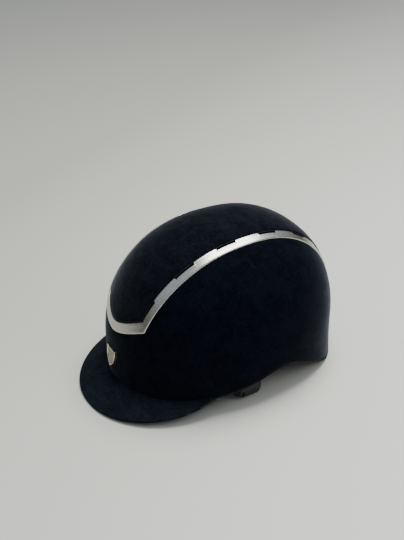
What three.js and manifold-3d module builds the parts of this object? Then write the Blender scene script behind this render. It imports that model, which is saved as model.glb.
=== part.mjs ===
// Equestrian riding helmet with a short peak, a framed centre panel, a foam liner,
// a dial-adjusted nape cradle and a four-point harness with a side-release buckle.
// Millimetres, +Z up, the peak points along -Y, the wearer's left is +X.
// The helmet stands on the peak's tip and on the nape of the rim, at z = 0.
import * as THREE from "three";
import { mergeVertices } from "three/addons/utils/BufferGeometryUtils.js";
import Module from "manifold-3d";

const wasm = await Module();
wasm.setup();

// ---------------------------------------------------------------- driving dimensions
const CENTRE_Y = 17.5; // the dome's centre, so that the origin is the middle of the footprint
const EQUATOR = 57.5; // height of the dome's widest section
const HALF_WIDTH = 106.3;
const FRONT_LENGTH = 131.9;
const REAR_LENGTH = 133.5;
const CROWN_RISE = 125.5; // equator to crown
const CROWN_LEAN = 6.3; // how far the crown sits behind the dome's centre
const TOUCH_GAP = 0.3; // left between parts that touch

// Each layer lies between two insets from the dome's outer surface.
const COVER_SKIN = [0, 1];
const HARD_SHELL = [1.3, 3.8];
const GRILLE = [5.4, 6.1];
const LINER = [5.3, 25];
const GRILLE_SEAT = [2.5, 7]; // shallow channel in the liner that the grilles lie in
const PADS = [26.6, 32.6];
const PANEL_MOULDING = [-0.5, 0.2];
const PANEL_SKIN = [-1.5, -0.8];
const TRIM = [-1, 0.8];

const BINDING_HEIGHT = 1.7; // edge binding under the shell and the liner's margin
const LAYER_LIFT = 2.6; // lower edge of each layer above the bottom of the binding
const BINDING_WIDTH = 9;

// Trim frame round the centre panel, in degrees of pitch from the front over the crown.
const FRAME_FRONT = 19.7;
const FRAME_REAR = 158;
const FRAME_BEND = 8.9; // how far the middle of each cross bar lies beyond its corners
const BEND_POWER = 1.6; // 1 would make the bars a plain V, 2 an even bow
const BAR_PITCH = 5.2; // height of the cross bars
const RAIL_WIDE = 8.6;
const RAIL_NARROW = 5.8;
const WIDEST_PITCH = 62;
const WIDEST_HALF = 53.3;
const VENTS = [
  [25.2, 36.9],
  [52.3, 64.6],
  [78.6, 90.4],
  [104.4, 115],
  [126.5, 134.7],
  [144.5, 151.5],
];

const PEAK_REACH = 35.5; // how far the peak stands out in front of the shell
const PEAK_HALF_ANGLE = 61;
const PEAK_FALLOFF = 1.12;
const PEAK_ROOT_RISE = 22; // height of the peak's root above the ground
const PEAK_COVER = [0, 0.8];
const PEAK_BOARD = [1.1, 2.5];
const PEAK_LINING = [2.8, 3.6];

const WEB_WIDTH = 13;
const WEB_THICK = 1.4;

const DIAL_HEIGHT = 24;
const DIAL_Y = CENTRE_Y + 97.4; // middle plane of the two racks
const PINION_TEETH = 12;
const PINION_RADIUS = 5; // pitch radius: the racks move 5 mm for each radian of the dial
const RACK_THICK = 2;

const BAR_X = 83; // the bars that the chin webbing turns on
const BAR_Y = CENTRE_Y - 8;
const BAR_Z = 7;
const BAR_RADIUS = 1.5;
const TAB_FRONT = BAR_Y - 14; // the dividers, seen from the side
const TAB_BACK = BAR_Y + 9.4;
const TAB_HEIGHT = 14.6;
const TAB_MIDDLE = 12.5;
const POCKET_X = 89.1; // middle plane of the dividers' pockets
const CHIN_SKEW = 20; // degrees that each chin strap lies off the cross line

// ---------------------------------------------------------------- materials
function finish(color, roughness, metalness = 0) {
  return new THREE.MeshStandardMaterial({ color, roughness, metalness });
}
const SUEDE = finish(0x0b1119, 0.95);
const SHELL_PLASTIC = finish(0x15171a, 0.5);
const FOAM = finish(0x1b1c1e, 0.9);
const BRUSHED = finish(0xc8ccce, 0.35, 1);
const BADGE_METAL = finish(0xc9bfae, 0.3, 1);
const BADGE_ENAMEL = finish(0xb09a82, 0.4, 0.6);
const MESH_BLACK = finish(0x08090a, 0.7);
const RUBBER = finish(0x0c0d10, 0.8);
const LINING_CLOTH = finish(0x101216, 0.9);
const PAD_CLOTH = finish(0x17191d, 0.95);
const WEBBING = finish(0x121315, 0.8);
const HARNESS_PLASTIC = finish(0x35393a, 0.5);
const BLACK_PLASTIC = finish(0x101113, 0.45);
const STEEL = finish(0x9a9da0, 0.35, 1);
const CHIN_LEATHER = finish(0x141416, 0.6);

// ---------------------------------------------------------------- solids
function geometryFrom(vertices, triangles) {
  const geometry = new THREE.BufferGeometry();
  geometry.setAttribute("position", new THREE.Float32BufferAttribute(vertices.flat(), 3));
  geometry.setIndex(triangles.flat());
  return geometry;
}

function solidOf(geometry) {
  const bare = geometry.clone();
  bare.deleteAttribute("normal");
  bare.deleteAttribute("uv");
  const merged = mergeVertices(bare, 1e-4);
  return new wasm.Manifold(
    new wasm.Mesh({
      numProp: 3,
      vertProperties: new Float32Array(merged.attributes.position.array),
      triVerts: new Uint32Array(merged.index.array),
    }),
  );
}

function geometryOf(solid) {
  const mesh = solid.getMesh();
  const vertices = [];
  for (let i = 0; i < mesh.numVert; i++) {
    vertices.push(Array.from(mesh.vertProperties.subarray(i * mesh.numProp, i * mesh.numProp + 3)));
  }
  return geometryFrom(vertices, [Array.from(mesh.triVerts)]);
}

const cut = (geometry, ...tools) =>
  geometryOf(tools.reduce((solid, tool) => solid.subtract(solidOf(tool)), solidOf(geometry)));
const join = (...geometries) =>
  geometryOf(geometries.map(solidOf).reduce((solid, other) => solid.add(other)));

// A box from its lowest and highest corners.
function box(low, high) {
  const size = high.map((value, axis) => value - low[axis]);
  const middle = high.map((value, axis) => (value + low[axis]) / 2);
  return new THREE.BoxGeometry(...size).translate(...middle);
}

// A closed body from a stack of loops with equally many points, capped at both ends by fans.
function loft(loops) {
  const count = loops[0].length;
  const vertices = loops.flat();
  const triangles = [];
  for (let i = 0; i + 1 < loops.length; i++) {
    for (let j = 0; j < count; j++) {
      const next = (j + 1) % count;
      const [a, b] = [i * count + j, i * count + next];
      triangles.push([a, b, b + count], [a, b + count, a + count]);
    }
  }
  const last = (loops.length - 1) * count;
  for (let j = 1; j + 1 < count; j++) {
    triangles.push([0, j + 1, j], [last, last + j, last + j + 1]);
  }
  return facingOut(geometryFrom(vertices, triangles));
}

// A closed ring from cross-sections that follow one another and meet at the end.
function ring(sections) {
  const count = sections[0].length;
  const total = sections.length;
  const triangles = [];
  for (let i = 0; i < total; i++) {
    for (let j = 0; j < count; j++) {
      const next = (j + 1) % count;
      const [row, following] = [i * count, ((i + 1) % total) * count];
      triangles.push([row + j, row + next, following + next], [row + j, following + next, following + j]);
    }
  }
  return facingOut(geometryFrom(sections.flat(), triangles));
}

// A sheet with thickness: face(u, v, side) gives the outer (0) and the inner (1) surface.
function thickPatch(columns, rows, face) {
  const vertices = [];
  const triangles = [];
  const at = (i, j, side) => (side * (rows + 1) + j) * (columns + 1) + i;
  for (const side of [0, 1]) {
    for (let j = 0; j <= rows; j++) {
      for (let i = 0; i <= columns; i++) vertices.push(face(i / columns, j / rows, side));
    }
  }
  const quad = (a, b, c, d) => triangles.push([a, b, c], [a, c, d]);
  for (let j = 0; j < rows; j++) {
    for (let i = 0; i < columns; i++) {
      quad(at(i, j, 0), at(i + 1, j, 0), at(i + 1, j + 1, 0), at(i, j + 1, 0));
      quad(at(i, j, 1), at(i, j + 1, 1), at(i + 1, j + 1, 1), at(i + 1, j, 1));
    }
  }
  for (let i = 0; i < columns; i++) {
    quad(at(i, 0, 1), at(i + 1, 0, 1), at(i + 1, 0, 0), at(i, 0, 0));
    quad(at(i, rows, 0), at(i + 1, rows, 0), at(i + 1, rows, 1), at(i, rows, 1));
  }
  for (let j = 0; j < rows; j++) {
    quad(at(0, j, 0), at(0, j + 1, 0), at(0, j + 1, 1), at(0, j, 1));
    quad(at(columns, j, 1), at(columns, j + 1, 1), at(columns, j + 1, 0), at(columns, j, 0));
  }
  return facingOut(geometryFrom(vertices, triangles));
}

// Turns every face round if the body is inside out.
function facingOut(geometry) {
  const [p, index] = [geometry.attributes.position, geometry.index];
  const [a, b, c] = [new THREE.Vector3(), new THREE.Vector3(), new THREE.Vector3()];
  let volume = 0;
  for (let i = 0; i < index.count; i += 3) {
    a.fromBufferAttribute(p, index.getX(i));
    b.fromBufferAttribute(p, index.getX(i + 1));
    c.fromBufferAttribute(p, index.getX(i + 2));
    volume += a.dot(b.cross(c));
  }
  if (volume < 0) {
    for (let i = 0; i < index.count; i += 3) {
      const second = index.getX(i + 1);
      index.setX(i + 1, index.getX(i + 2));
      index.setX(i + 2, second);
    }
  }
  return geometry;
}

// A flat outline of [across, up] points, extruded along +Z.
function extrude(points, depth) {
  const outline = new THREE.Shape(points.map(([across, up]) => new THREE.Vector2(across, up)));
  return new THREE.ExtrudeGeometry(outline, { depth, bevelEnabled: false });
}

// Webbing: stations of [middle, width direction, thickness direction].
function webbing(stations, width = WEB_WIDTH, thick = WEB_THICK) {
  return loft(
    stations.map(([middle, across, through]) => {
      const side = across.clone().multiplyScalar(width / 2);
      const depth = through.clone().multiplyScalar(thick / 2);
      return [
        middle.clone().add(side).add(depth).toArray(),
        middle.clone().add(side).sub(depth).toArray(),
        middle.clone().sub(side).sub(depth).toArray(),
        middle.clone().sub(side).add(depth).toArray(),
      ];
    }),
  );
}

// ---------------------------------------------------------------- the dome
const radians = THREE.MathUtils.degToRad;
const clamp = THREE.MathUtils.clamp;
const DOME_COLUMNS = 36;
const WALL_ROWS = 3;
const CROWN_ROWS = 7;

// A smooth curve through [angle, value] pairs, the same on both sides of the helmet.
function throughKnots(angle, knots) {
  const a = Math.min(Math.abs(angle), 360 - Math.abs(angle));
  let i = 0;
  while (i + 2 < knots.length && a > knots[i + 1][0]) i++;
  const slope = (k) => {
    if (k <= 0 || k >= knots.length - 1) return 0;
    const before = (knots[k][1] - knots[k - 1][1]) / (knots[k][0] - knots[k - 1][0]);
    const after = (knots[k + 1][1] - knots[k][1]) / (knots[k + 1][0] - knots[k][0]);
    return before * after <= 0 ? 0 : (2 * before * after) / (before + after);
  };
  const span = knots[i + 1][0] - knots[i][0];
  const t = clamp((a - knots[i][0]) / span, 0, 1);
  const [t2, t3] = [t * t, t * t * t];
  return (
    (2 * t3 - 3 * t2 + 1) * knots[i][1] +
    (t3 - 2 * t2 + t) * span * slope(i) +
    (3 * t2 - 2 * t3) * knots[i + 1][1] +
    (t3 - t2) * span * slope(i + 1)
  );
}

// Height of the rim above the ground: it arches over the ear and drops to the nape.
const rimHeight = (angle) =>
  throughKnots(angle, [
    [0, 18],
    [30, 18],
    [55, 21],
    [80, 28.2],
    [105, 39.6],
    [130, 19.6],
    [149, 0],
    [164, 0],
    [180, 2],
  ]);

// Mixes a value at the front, the sides and the back of the dome.
function around(angle, front, side, back) {
  const w = (1 - Math.cos(radians(angle))) / 2;
  return front * (1 - w) ** 2 + side * 2 * w * (1 - w) + back * w ** 2;
}

// How wide the dome is, from 0 to 1 of its plan, at a height above the equator.
function profile(angle, rise, inset) {
  if (rise < 0) return 1 - around(angle, 0.005, 0.046, -0.019) * (rise / 50) ** 2;
  const power = around(angle, 2.18, 2.01, 2.14);
  return (1 - Math.min(rise / (CROWN_RISE - inset), 1) ** power) ** (1 / power);
}

// Distance from the dome's axis to its plan outline, a superellipse.
function planRadius(angle, inset) {
  const [sin, cos] = [Math.abs(Math.sin(radians(angle))), Math.cos(radians(angle))];
  const length = (cos > 0 ? FRONT_LENGTH : REAR_LENGTH) - inset;
  const power = cos > 0 ? 2.13 : 2.27;
  const sum = (sin / (HALF_WIDTH - inset)) ** power + (Math.abs(cos) / length) ** power;
  return sum ** (-1 / power);
}

const lean = (rise) => CROWN_LEAN * clamp(rise / CROWN_RISE, -0.5, 1);

// The point of the dome at a plan angle (0 at the front, 90 on the wearer's left) and height.
function domePoint(angle, height, inset) {
  const rise = height - EQUATOR;
  const radius = planRadius(angle, inset) * profile(angle, rise, inset);
  const x = radius * Math.sin(radians(angle));
  const y = CENTRE_Y - radius * Math.cos(radians(angle)) + lean(rise);
  return [x, y, height];
}

// The point of the dome at a pitch (0 forwards, 90 up, 180 backwards) and a distance x off centre.
function pitchPoint(pitch, x, inset) {
  const at = (reach) => [
    x,
    CENTRE_Y - reach * Math.cos(radians(pitch)),
    EQUATOR + reach * Math.sin(radians(pitch)),
  ];
  const inside = ([px, py, pz]) => {
    const rise = pz - EQUATOR;
    if (rise >= CROWN_RISE - inset) return false;
    const y = py - CENTRE_Y - lean(rise);
    const angle = THREE.MathUtils.radToDeg(Math.atan2(px, -y));
    return Math.hypot(px, y) < planRadius(angle, inset) * profile(angle, rise, inset);
  };
  let [near, far] = [10, 200];
  for (let i = 0; i < 40; i++) {
    const middle = (near + far) / 2;
    if (inside(at(middle))) near = middle;
    else far = middle;
  }
  return at(near);
}

// One full layer of the dome, from just above the binding to the crown.
function domeLayer([outer, inner]) {
  const vertices = [];
  const triangles = [];
  const rows = WALL_ROWS + CROWN_ROWS;
  for (const inset of [outer, inner]) {
    for (let j = 0; j < rows; j++) {
      for (let i = 0; i < DOME_COLUMNS; i++) {
        const angle = (360 * i) / DOME_COLUMNS;
        const foot = rimHeight(angle) + LAYER_LIFT;
        const climb = radians((90 * (j - WALL_ROWS)) / CROWN_ROWS);
        const wall = foot + ((EQUATOR - foot) * j) / WALL_ROWS;
        const crown = EQUATOR + (CROWN_RISE - inset) * Math.sin(climb);
        vertices.push(domePoint(angle, j < WALL_ROWS ? wall : crown, inset));
      }
    }
    vertices.push([0, CENTRE_Y + lean(CROWN_RISE - inset), EQUATOR + CROWN_RISE - inset]);
  }
  const size = rows * DOME_COLUMNS + 1;
  for (let i = 0; i < DOME_COLUMNS; i++) {
    const next = (i + 1) % DOME_COLUMNS;
    for (let j = 0; j + 1 < rows; j++) {
      const [a, b] = [j * DOME_COLUMNS + i, j * DOME_COLUMNS + next];
      const [c, d] = [b + DOME_COLUMNS, a + DOME_COLUMNS];
      triangles.push([a, b, c], [a, c, d], [size + a, size + c, size + b], [size + a, size + d, size + c]);
    }
    const top = (rows - 1) * DOME_COLUMNS;
    triangles.push([top + i, top + next, size - 1]);
    triangles.push([size + top + next, size + top + i, 2 * size - 1]);
    triangles.push([i, size + next, next], [i, size + i, size + next]);
  }
  return facingOut(geometryFrom(vertices, triangles));
}

// ---------------------------------------------------------------- the frame's outline
// Half width of the frame's outer edge at a pitch.
function frameHalfWidth(pitch) {
  const ahead = ((WIDEST_PITCH - pitch) / 42.3) ** 2 * 5.8;
  const behind = (Math.max(pitch - WIDEST_PITCH, 0) / 83.4) ** 1.5 * 11.3;
  return WIDEST_HALF - (pitch < WIDEST_PITCH ? ahead : behind);
}

// Cross bars bow outwards at their middle; past the bars the bow fades along the panel.
const BOW_FADE = 25;
function bowed(pitch, across) {
  const past = (from) => Math.max(0, from - BAR_PITCH) / BOW_FADE;
  const front = Math.max(0, 1 - past(pitch - FRAME_FRONT)) ** 2;
  const rear = Math.max(0, 1 - past(FRAME_REAR - pitch)) ** 2;
  return pitch + FRAME_BEND * (1 - Math.abs(across) ** BEND_POWER) * (rear - front);
}

const inVent = (pitch) => VENTS.some(([low, high]) => pitch > low && pitch < high);
const railWidth = (pitch) => (inVent(pitch) ? RAIL_NARROW : RAIL_WIDE);

// Pitches along a rail: even steps, and a close pair at each step of the rail's inner edge.
function railPitches() {
  const list = [];
  for (let pitch = 24; pitch < 156; pitch += 6) list.push(pitch);
  for (const edge of VENTS.flat()) list.push(edge - 0.2, edge + 0.2);
  return list.filter((p) => VENTS.flat().every((edge) => Math.abs(p - edge) < 0.3 || Math.abs(p - edge) > 1.5))
    .sort((a, b) => a - b);
}

// The radial block over a patch of the dome between two pitches, for cutting openings.
function pitchBlock(low, high, xLow, xHigh, bow, columns = 2) {
  const steps = Math.max(2, Math.ceil((high - low) / 6));
  return thickPatch(columns, steps, (u, v, side) => {
    const pitch = low + (high - low) * v;
    const x = xLow(pitch) + (xHigh(pitch) - xLow(pitch)) * u;
    const turned = radians(bow ? bowed(pitch, 2 * u - 1) : pitch);
    const reach = side ? 70 : 190;
    return [x, CENTRE_Y - reach * Math.cos(turned), EQUATOR + reach * Math.sin(turned)];
  });
}

// ---------------------------------------------------------------- shell, covers and trim
function panelOpening() {
  const half = (pitch) => frameHalfWidth(pitch) + 3 * TOUCH_GAP;
  return pitchBlock(FRAME_FRONT - 0.5, FRAME_REAR + 0.5, (p) => -half(p), half, true, 12);
}

// Slots through the shell, or wider channels through the liner, behind each notch of the rails.
function ventSlots(inner, outer, margin) {
  return VENTS.flatMap(([low, high]) =>
    [-1, 1].map((side) => {
      const edges = [inner, outer].map((depth) => (p) => side * (frameHalfWidth(p) - depth));
      if (side < 0) edges.reverse();
      return pitchBlock(low + margin, high - margin, ...edges, false, 1);
    }),
  );
}

function sideCover() {
  return cut(domeLayer(COVER_SKIN), panelOpening());
}

function outerShell() {
  return cut(domeLayer(HARD_SHELL), ...ventSlots(8.4, 6.2, 1.5));
}

function panelLayer([outer, inner], shrink) {
  return thickPatch(6, 18, (u, v, side) => {
    const [low, high] = [FRAME_FRONT + BAR_PITCH + 0.25, FRAME_REAR - BAR_PITCH - 0.25];
    const pitch = low + (high - low) * v;
    const half = frameHalfWidth(pitch) - RAIL_WIDE - 0.35 - shrink;
    const across = 2 * u - 1;
    return pitchPoint(bowed(pitch, across), half * across, side ? inner : outer);
  });
}

// The frame: cross bar, left rail, rear bar, right rail, in pairs of outer and inner edge points.
function trimFrame() {
  const bar = (pitch, inward, rail, direction) =>
    Array.from({ length: 9 }, (_, i) => {
      const across = direction * (-1 + i / 4);
      const inner = pitch + inward;
      return [
        [bowed(pitch, across), frameHalfWidth(pitch) * across],
        [bowed(inner, across), (frameHalfWidth(inner) - rail) * across],
      ];
    });
  const rail = (side) =>
    railPitches().map((pitch) => [
      [pitch, side * frameHalfWidth(pitch)],
      [pitch, side * (frameHalfWidth(pitch) - railWidth(pitch))],
    ]);
  const stay = (pairs) => pairs.filter(([[pitch]]) => pitch > 25.3 && pitch < 151.7);
  const pairs = [
    ...bar(FRAME_FRONT, BAR_PITCH, RAIL_NARROW, 1),
    ...stay(rail(1)),
    ...bar(FRAME_REAR, -BAR_PITCH, RAIL_WIDE, -1),
    ...stay(rail(-1)).reverse(),
  ];
  return ring(
    pairs.map(([outer, inner]) => [
      pitchPoint(...outer, TRIM[0]),
      pitchPoint(...outer, TRIM[1]),
      pitchPoint(...inner, TRIM[1]),
      pitchPoint(...inner, TRIM[0]),
    ]),
  );
}

// A strip under the vents of one rail, between two depths; margin widens it all round.
function ventStrip(side, [outer, inner], margin) {
  const [low, high] = [VENTS[0][0] - margin / 2, VENTS.at(-1)[1] + margin / 2];
  return thickPatch(1, 20, (u, v, face) => {
    const pitch = low + (high - low) * v;
    const x = side * (frameHalfWidth(pitch) - 10.5 - margin + (6.5 + 2 * margin) * u);
    return pitchPoint(pitch, x, face ? inner : outer);
  });
}

function rimBinding() {
  return ring(
    Array.from({ length: DOME_COLUMNS }, (_, i) => {
      const angle = (360 * i) / DOME_COLUMNS;
      const foot = rimHeight(angle);
      const top = foot + BINDING_HEIGHT;
      return [
        domePoint(angle, foot + 0.6, 0),
        domePoint(angle, foot, 0.6),
        domePoint(angle, foot, BINDING_WIDTH - 0.6),
        domePoint(angle, foot + 0.6, BINDING_WIDTH),
        domePoint(angle, top, BINDING_WIDTH),
        domePoint(angle, top, 0),
      ];
    }),
  );
}

// ---------------------------------------------------------------- peak
// Height of the peak's root along the shell.
const rootHeight = (angle) =>
  throughKnots(angle, [
    [0, PEAK_ROOT_RISE],
    [40, PEAK_ROOT_RISE - 0.8],
    [70, PEAK_ROOT_RISE + 5.2],
    [100, PEAK_ROOT_RISE + 12],
  ]);

// A point of the peak: out runs from 0 at the shell to 1 at the edge, depth is below its top.
function peakPoint(angle, out, depth) {
  const share = Math.max(Math.cos(radians((angle * 90) / PEAK_HALF_ANGLE)), 0) ** PEAK_FALLOFF;
  const thick = PEAK_LINING[1];
  const root = domePoint(angle, rootHeight(angle), -3 * TOUCH_GAP);
  const heading = new THREE.Vector2(0.976 * Math.sin(radians(angle)), -Math.cos(radians(angle))).normalize();
  const reach = (PEAK_REACH * share + 1) * out;
  const drop = (PEAK_ROOT_RISE - thick) * share * (0.8 * out + 0.2 * out ** 2);
  return [
    root[0] + heading.x * reach,
    root[1] + heading.y * reach,
    Math.max(root[2] - drop - depth, depth >= thick ? 0 : thick - depth),
  ];
}

function peakLayer([upper, lower], out) {
  return thickPatch(18, 3, (u, v, side) =>
    peakPoint(PEAK_HALF_ANGLE * (2 * u - 1), out * v, side ? lower : upper),
  );
}

// ---------------------------------------------------------------- badge
const BADGE_WIDTH = 22;
const BADGE_HEIGHT = 26;
const BADGE_MIDDLE = 46.5;

// A plain shield with a slightly hollow top edge.
function shieldOutline(shrink) {
  const half = BADGE_WIDTH / 2 - shrink;
  const [top, foot] = [BADGE_HEIGHT / 2 - shrink, -BADGE_HEIGHT / 2 + 1.5 * shrink];
  const outline = new THREE.Shape();
  outline.moveTo(0, foot);
  outline.bezierCurveTo(half * 0.62, foot * 0.62, half, foot * 0.25, half, top * 0.35);
  outline.lineTo(half, top);
  outline.quadraticCurveTo(half * 0.5, top - 2.2, 0, top - 1);
  outline.quadraticCurveTo(-half * 0.5, top - 2.2, -half, top);
  outline.lineTo(-half, top * 0.35);
  outline.bezierCurveTo(-half, foot * 0.25, -half * 0.62, foot * 0.62, 0, foot);
  return outline;
}

// Shield plates lie against the shell's front, which leans back with height.
const BADGE_LEAN = Math.atan(CROWN_LEAN / CROWN_RISE);
function shieldPlate(outline, off, thick) {
  const plate = new THREE.ExtrudeGeometry(outline, { depth: thick, bevelEnabled: false, curveSegments: 5 });
  const front = domePoint(0, BADGE_MIDDLE, 0);
  return plate.translate(0, 0, off).rotateX(Math.PI / 2 - BADGE_LEAN).translate(...front);
}

function badgeBezel() {
  const plate = shieldPlate(shieldOutline(0), 0.5, 2);
  return cut(plate, shieldPlate(shieldOutline(1.7), 1.2, 3));
}

const badgeInlay = () => shieldPlate(shieldOutline(2.0), 1.5, 0.7);

// ---------------------------------------------------------------- liner and pads
const FRONT_ANCHOR = 58; // plan angles of the four strap anchors
const REAR_ANCHOR = 122;
const ANCHOR_INSET = 17;
const ANCHOR_FLANGE = 6; // radius
const ANCHOR_STEM = 3.6; // radius
const CHANNEL_EDGES = [10, 4];

function anchorPlace(angle) {
  const foot = rimHeight(angle) + 2;
  const [x, y] = domePoint(angle, foot, ANCHOR_INSET);
  return [x, y, foot];
}

// A stem in the liner's underside with a flange that the webbing hangs from.
function strapAnchor(angle) {
  const half = [
    [0, -2.2],
    [ANCHOR_FLANGE, -2.2],
    [ANCHOR_FLANGE, -TOUCH_GAP],
    [ANCHOR_STEM, -TOUCH_GAP],
    [ANCHOR_STEM, 11],
    [0, 13],
  ];
  const turned = new THREE.LatheGeometry(half.map(([r, h]) => new THREE.Vector2(r, h)), 12);
  return turned.rotateX(Math.PI / 2).translate(...anchorPlace(angle));
}

// The sockets that the anchors' stems and flanges sit in.
function anchorSocket(angle) {
  const half = [
    [0, -20],
    [ANCHOR_FLANGE + 0.8, -20],
    [ANCHOR_FLANGE + 0.8, 0],
    [ANCHOR_STEM + 0.4, 0],
    [ANCHOR_STEM + 0.4, 14],
    [0, 14],
  ];
  const turned = new THREE.LatheGeometry(half.map(([r, h]) => new THREE.Vector2(r, h)), 12);
  return turned.rotateX(Math.PI / 2).translate(...anchorPlace(angle));
}

function foamLiner() {
  const sockets = [FRONT_ANCHOR, REAR_ANCHOR, -FRONT_ANCHOR, -REAR_ANCHOR].map(anchorSocket);
  const seats = [-1, 1].map((side) => ventStrip(side, GRILLE_SEAT, 1));
  const dialNotch = box([-23, CENTRE_Y + 90, -5], [23, CENTRE_Y + 125, 46]);
  const hangerSlot = box([-8.6, CENTRE_Y + 90, 44], [8.6, CENTRE_Y + 112.5, 66]);
  const channels = ventSlots(...CHANNEL_EDGES, 1);
  return cut(domeLayer(LINER), ...channels, ...seats, ...sockets, dialNotch, hangerSlot);
}

// A pad on the liner's inside between two plan angles and two heights above the rim.
function wallPad(from, to, foot, head) {
  return thickPatch(12, 3, (u, v, side) => {
    const angle = from + (to - from) * u;
    const low = rimHeight(angle) + foot;
    const ease = 1 - (2 * u - 1) ** 6;
    return domePoint(angle, low + (head - foot) * v * (0.75 + 0.25 * ease), PADS[side]);
  });
}

// The pad under the crown: an oval, its length given in degrees of pitch.
function crownPad() {
  const rows = 4;
  const loops = [PADS[0], PADS[1]].map((inset) =>
    Array.from({ length: rows }, (_, j) => {
      const share = 1 - j / rows;
      return Array.from({ length: 20 }, (_, i) => {
        const turn = (2 * Math.PI * i) / 20;
        const [x, along] = [40 * share * Math.sin(turn), 34 * share * Math.cos(turn)];
        return pitchPoint(90 + along, x, inset);
      });
    }),
  );
  return loft([...loops[0].reverse(), ...loops[1]]);
}

// ---------------------------------------------------------------- harness
const vector = (point) => new THREE.Vector3(...point);

// Side webbing stands on edge and bows into the cavity between an anchor and the divider.
function sideStrap(side, anchorAngle, dividerY) {
  const [ax, ay, az] = anchorPlace(side * anchorAngle);
  const start = new THREE.Vector3(ax, ay, az - 2.6 - WEB_WIDTH / 2);
  const end = new THREE.Vector3(side * POCKET_X, dividerY, TAB_MIDDLE);
  const away = Math.sign(start.y - end.y);
  const curve = new THREE.CatmullRomCurve3([
    start,
    new THREE.Vector3(start.x - side * 9, start.y - away * 7, start.z - 1),
    new THREE.Vector3(side * 60, start.y * 0.45 + end.y * 0.55, TAB_MIDDLE + 1),
    new THREE.Vector3(side * (POCKET_X - 6), dividerY + away * 9, TAB_MIDDLE + 1.5),
    new THREE.Vector3(side * (POCKET_X - 0.2), dividerY + away * 3.2, TAB_MIDDLE),
    end,
  ]);
  return webbing(
    Array.from({ length: 16 }, (_, i) => {
      const t = i / 15;
      const along = curve.getTangent(t);
      const through = new THREE.Vector3(along.y, -along.x, 0).normalize();
      return [curve.getPoint(t), through.clone().cross(along).normalize(), through];
    }),
  );
}

// Turns a flat outline of [y, z] points, extruded along +Z, to stand across X.
const acrossX = (geometry) =>
  geometry.applyMatrix4(new THREE.Matrix4().makeBasis(vector([0, 1, 0]), vector([0, 0, 1]), vector([1, 0, 0])));

// The divider: a plate with a pocket for each side strap, a window and a bar for the chin strap.
function divider(side) {
  const [front, back] = [TAB_FRONT, TAB_BACK];
  const [foot, head] = [TAB_MIDDLE - TAB_HEIGHT / 2, TAB_MIDDLE + TAB_HEIGHT / 2];
  const across = (near, far) => (side > 0 ? [near, far] : [-far, -near]);
  const [xLow, xHigh] = across(POCKET_X - 1.9, POCKET_X + 1.9);
  const outline = [
    [front, foot + 2.5],
    [front + 2.5, foot],
    [back - 2.5, foot],
    [back, foot + 2.5],
    [back, head - 3],
    [back - 3, head],
    [front + 3, head],
    [front, head - 3],
  ];
  const plate = acrossX(extrude(outline, xHigh - xLow)).translate(xLow, 0, 0);
  const [earLow, earHigh] = across(BAR_X - 1.6, POCKET_X - 1);
  const ears = [BAR_Y - 9, BAR_Y + 7.6].map((y) => box([earLow, y, BAR_Z - 1.6], [earHigh, y + 1.4, BAR_Z + 1.6]));
  const rod = new THREE.CylinderGeometry(BAR_RADIUS, BAR_RADIUS, 17, 12).translate(side * BAR_X, BAR_Y, BAR_Z);
  const [slotLow, slotHigh] = across(POCKET_X - 1, POCKET_X + 1);
  const reach = WEB_WIDTH / 2 + 0.4;
  const pockets = [front - 1, back - 4].map((y) =>
    box([slotLow, y, TAB_MIDDLE - reach], [slotHigh, y + 5, TAB_MIDDLE + reach]),
  );
  const [windowLow, windowHigh] = across(POCKET_X, POCKET_X + 3);
  const window = box([windowLow, front + 1.6, foot + 2.4], [windowHigh, front + 4.4, foot + 7]);
  return cut(join(plate, ...ears, rod), ...pockets, window);
}

// Places a chin-strap piece, drawn along +X from the bar with its flat face down, at one side.
function onChinStrap(geometry, side) {
  const skew = side > 0 ? 180 - CHIN_SKEW : CHIN_SKEW * -1;
  return geometry.rotateZ(radians(skew)).translate(side * BAR_X, BAR_Y, 0);
}

const LOOP_BORE = 2; // radius of the sewn loop round the bar
const CHIN_Z = BAR_Z - LOOP_BORE - WEB_THICK / 2; // middle height of the webbing that lies flat
const CHIN_LENGTH = 66;

// Chin webbing with a sewn loop round the divider's bar. The loop stays square to the bar.
function chinStrap(side) {
  const [half, low, high] = [WEB_WIDTH / 2, CHIN_Z - WEB_THICK / 2, CHIN_Z + WEB_THICK / 2];
  const flat = onChinStrap(box([3, -half, low], [CHIN_LENGTH, half, high]), side);
  const section = [
    [LOOP_BORE, -half],
    [LOOP_BORE + WEB_THICK, -half],
    [LOOP_BORE + WEB_THICK, half],
    [LOOP_BORE, half],
    [LOOP_BORE, -half],
  ].map(([r, h]) => new THREE.Vector2(r, h));
  const loop = new THREE.LatheGeometry(section, 16).translate(side * BAR_X, BAR_Y, BAR_Z);
  const [near, far] = side > 0 ? [BAR_X - 8, BAR_X] : [-BAR_X, -BAR_X + 8];
  return join(flat, loop, box([near, BAR_Y - half, low], [far, BAR_Y + half, high]));
}

// The buckle's plug: a slotted yoke on the webbing, a tongue, and two hinged prongs.
const PLUG_START = CHIN_LENGTH - 8;
const YOKE_LENGTH = 13;
const PRONG_ROOT = PLUG_START + YOKE_LENGTH;
const PRONG_LENGTH = 22;
const WEB_CLEAR = WEB_WIDTH / 2 + 0.4;

// The passage for the webbing's end, and the crosswise window behind it.
const webPassage = [
  box([PLUG_START - 1, -WEB_CLEAR, CHIN_Z - 1], [CHIN_LENGTH + 0.4, WEB_CLEAR, CHIN_Z + 1]),
  box([PLUG_START + 2.4, -WEB_CLEAR, -1], [PLUG_START + 4.6, WEB_CLEAR, 11]),
];

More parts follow.
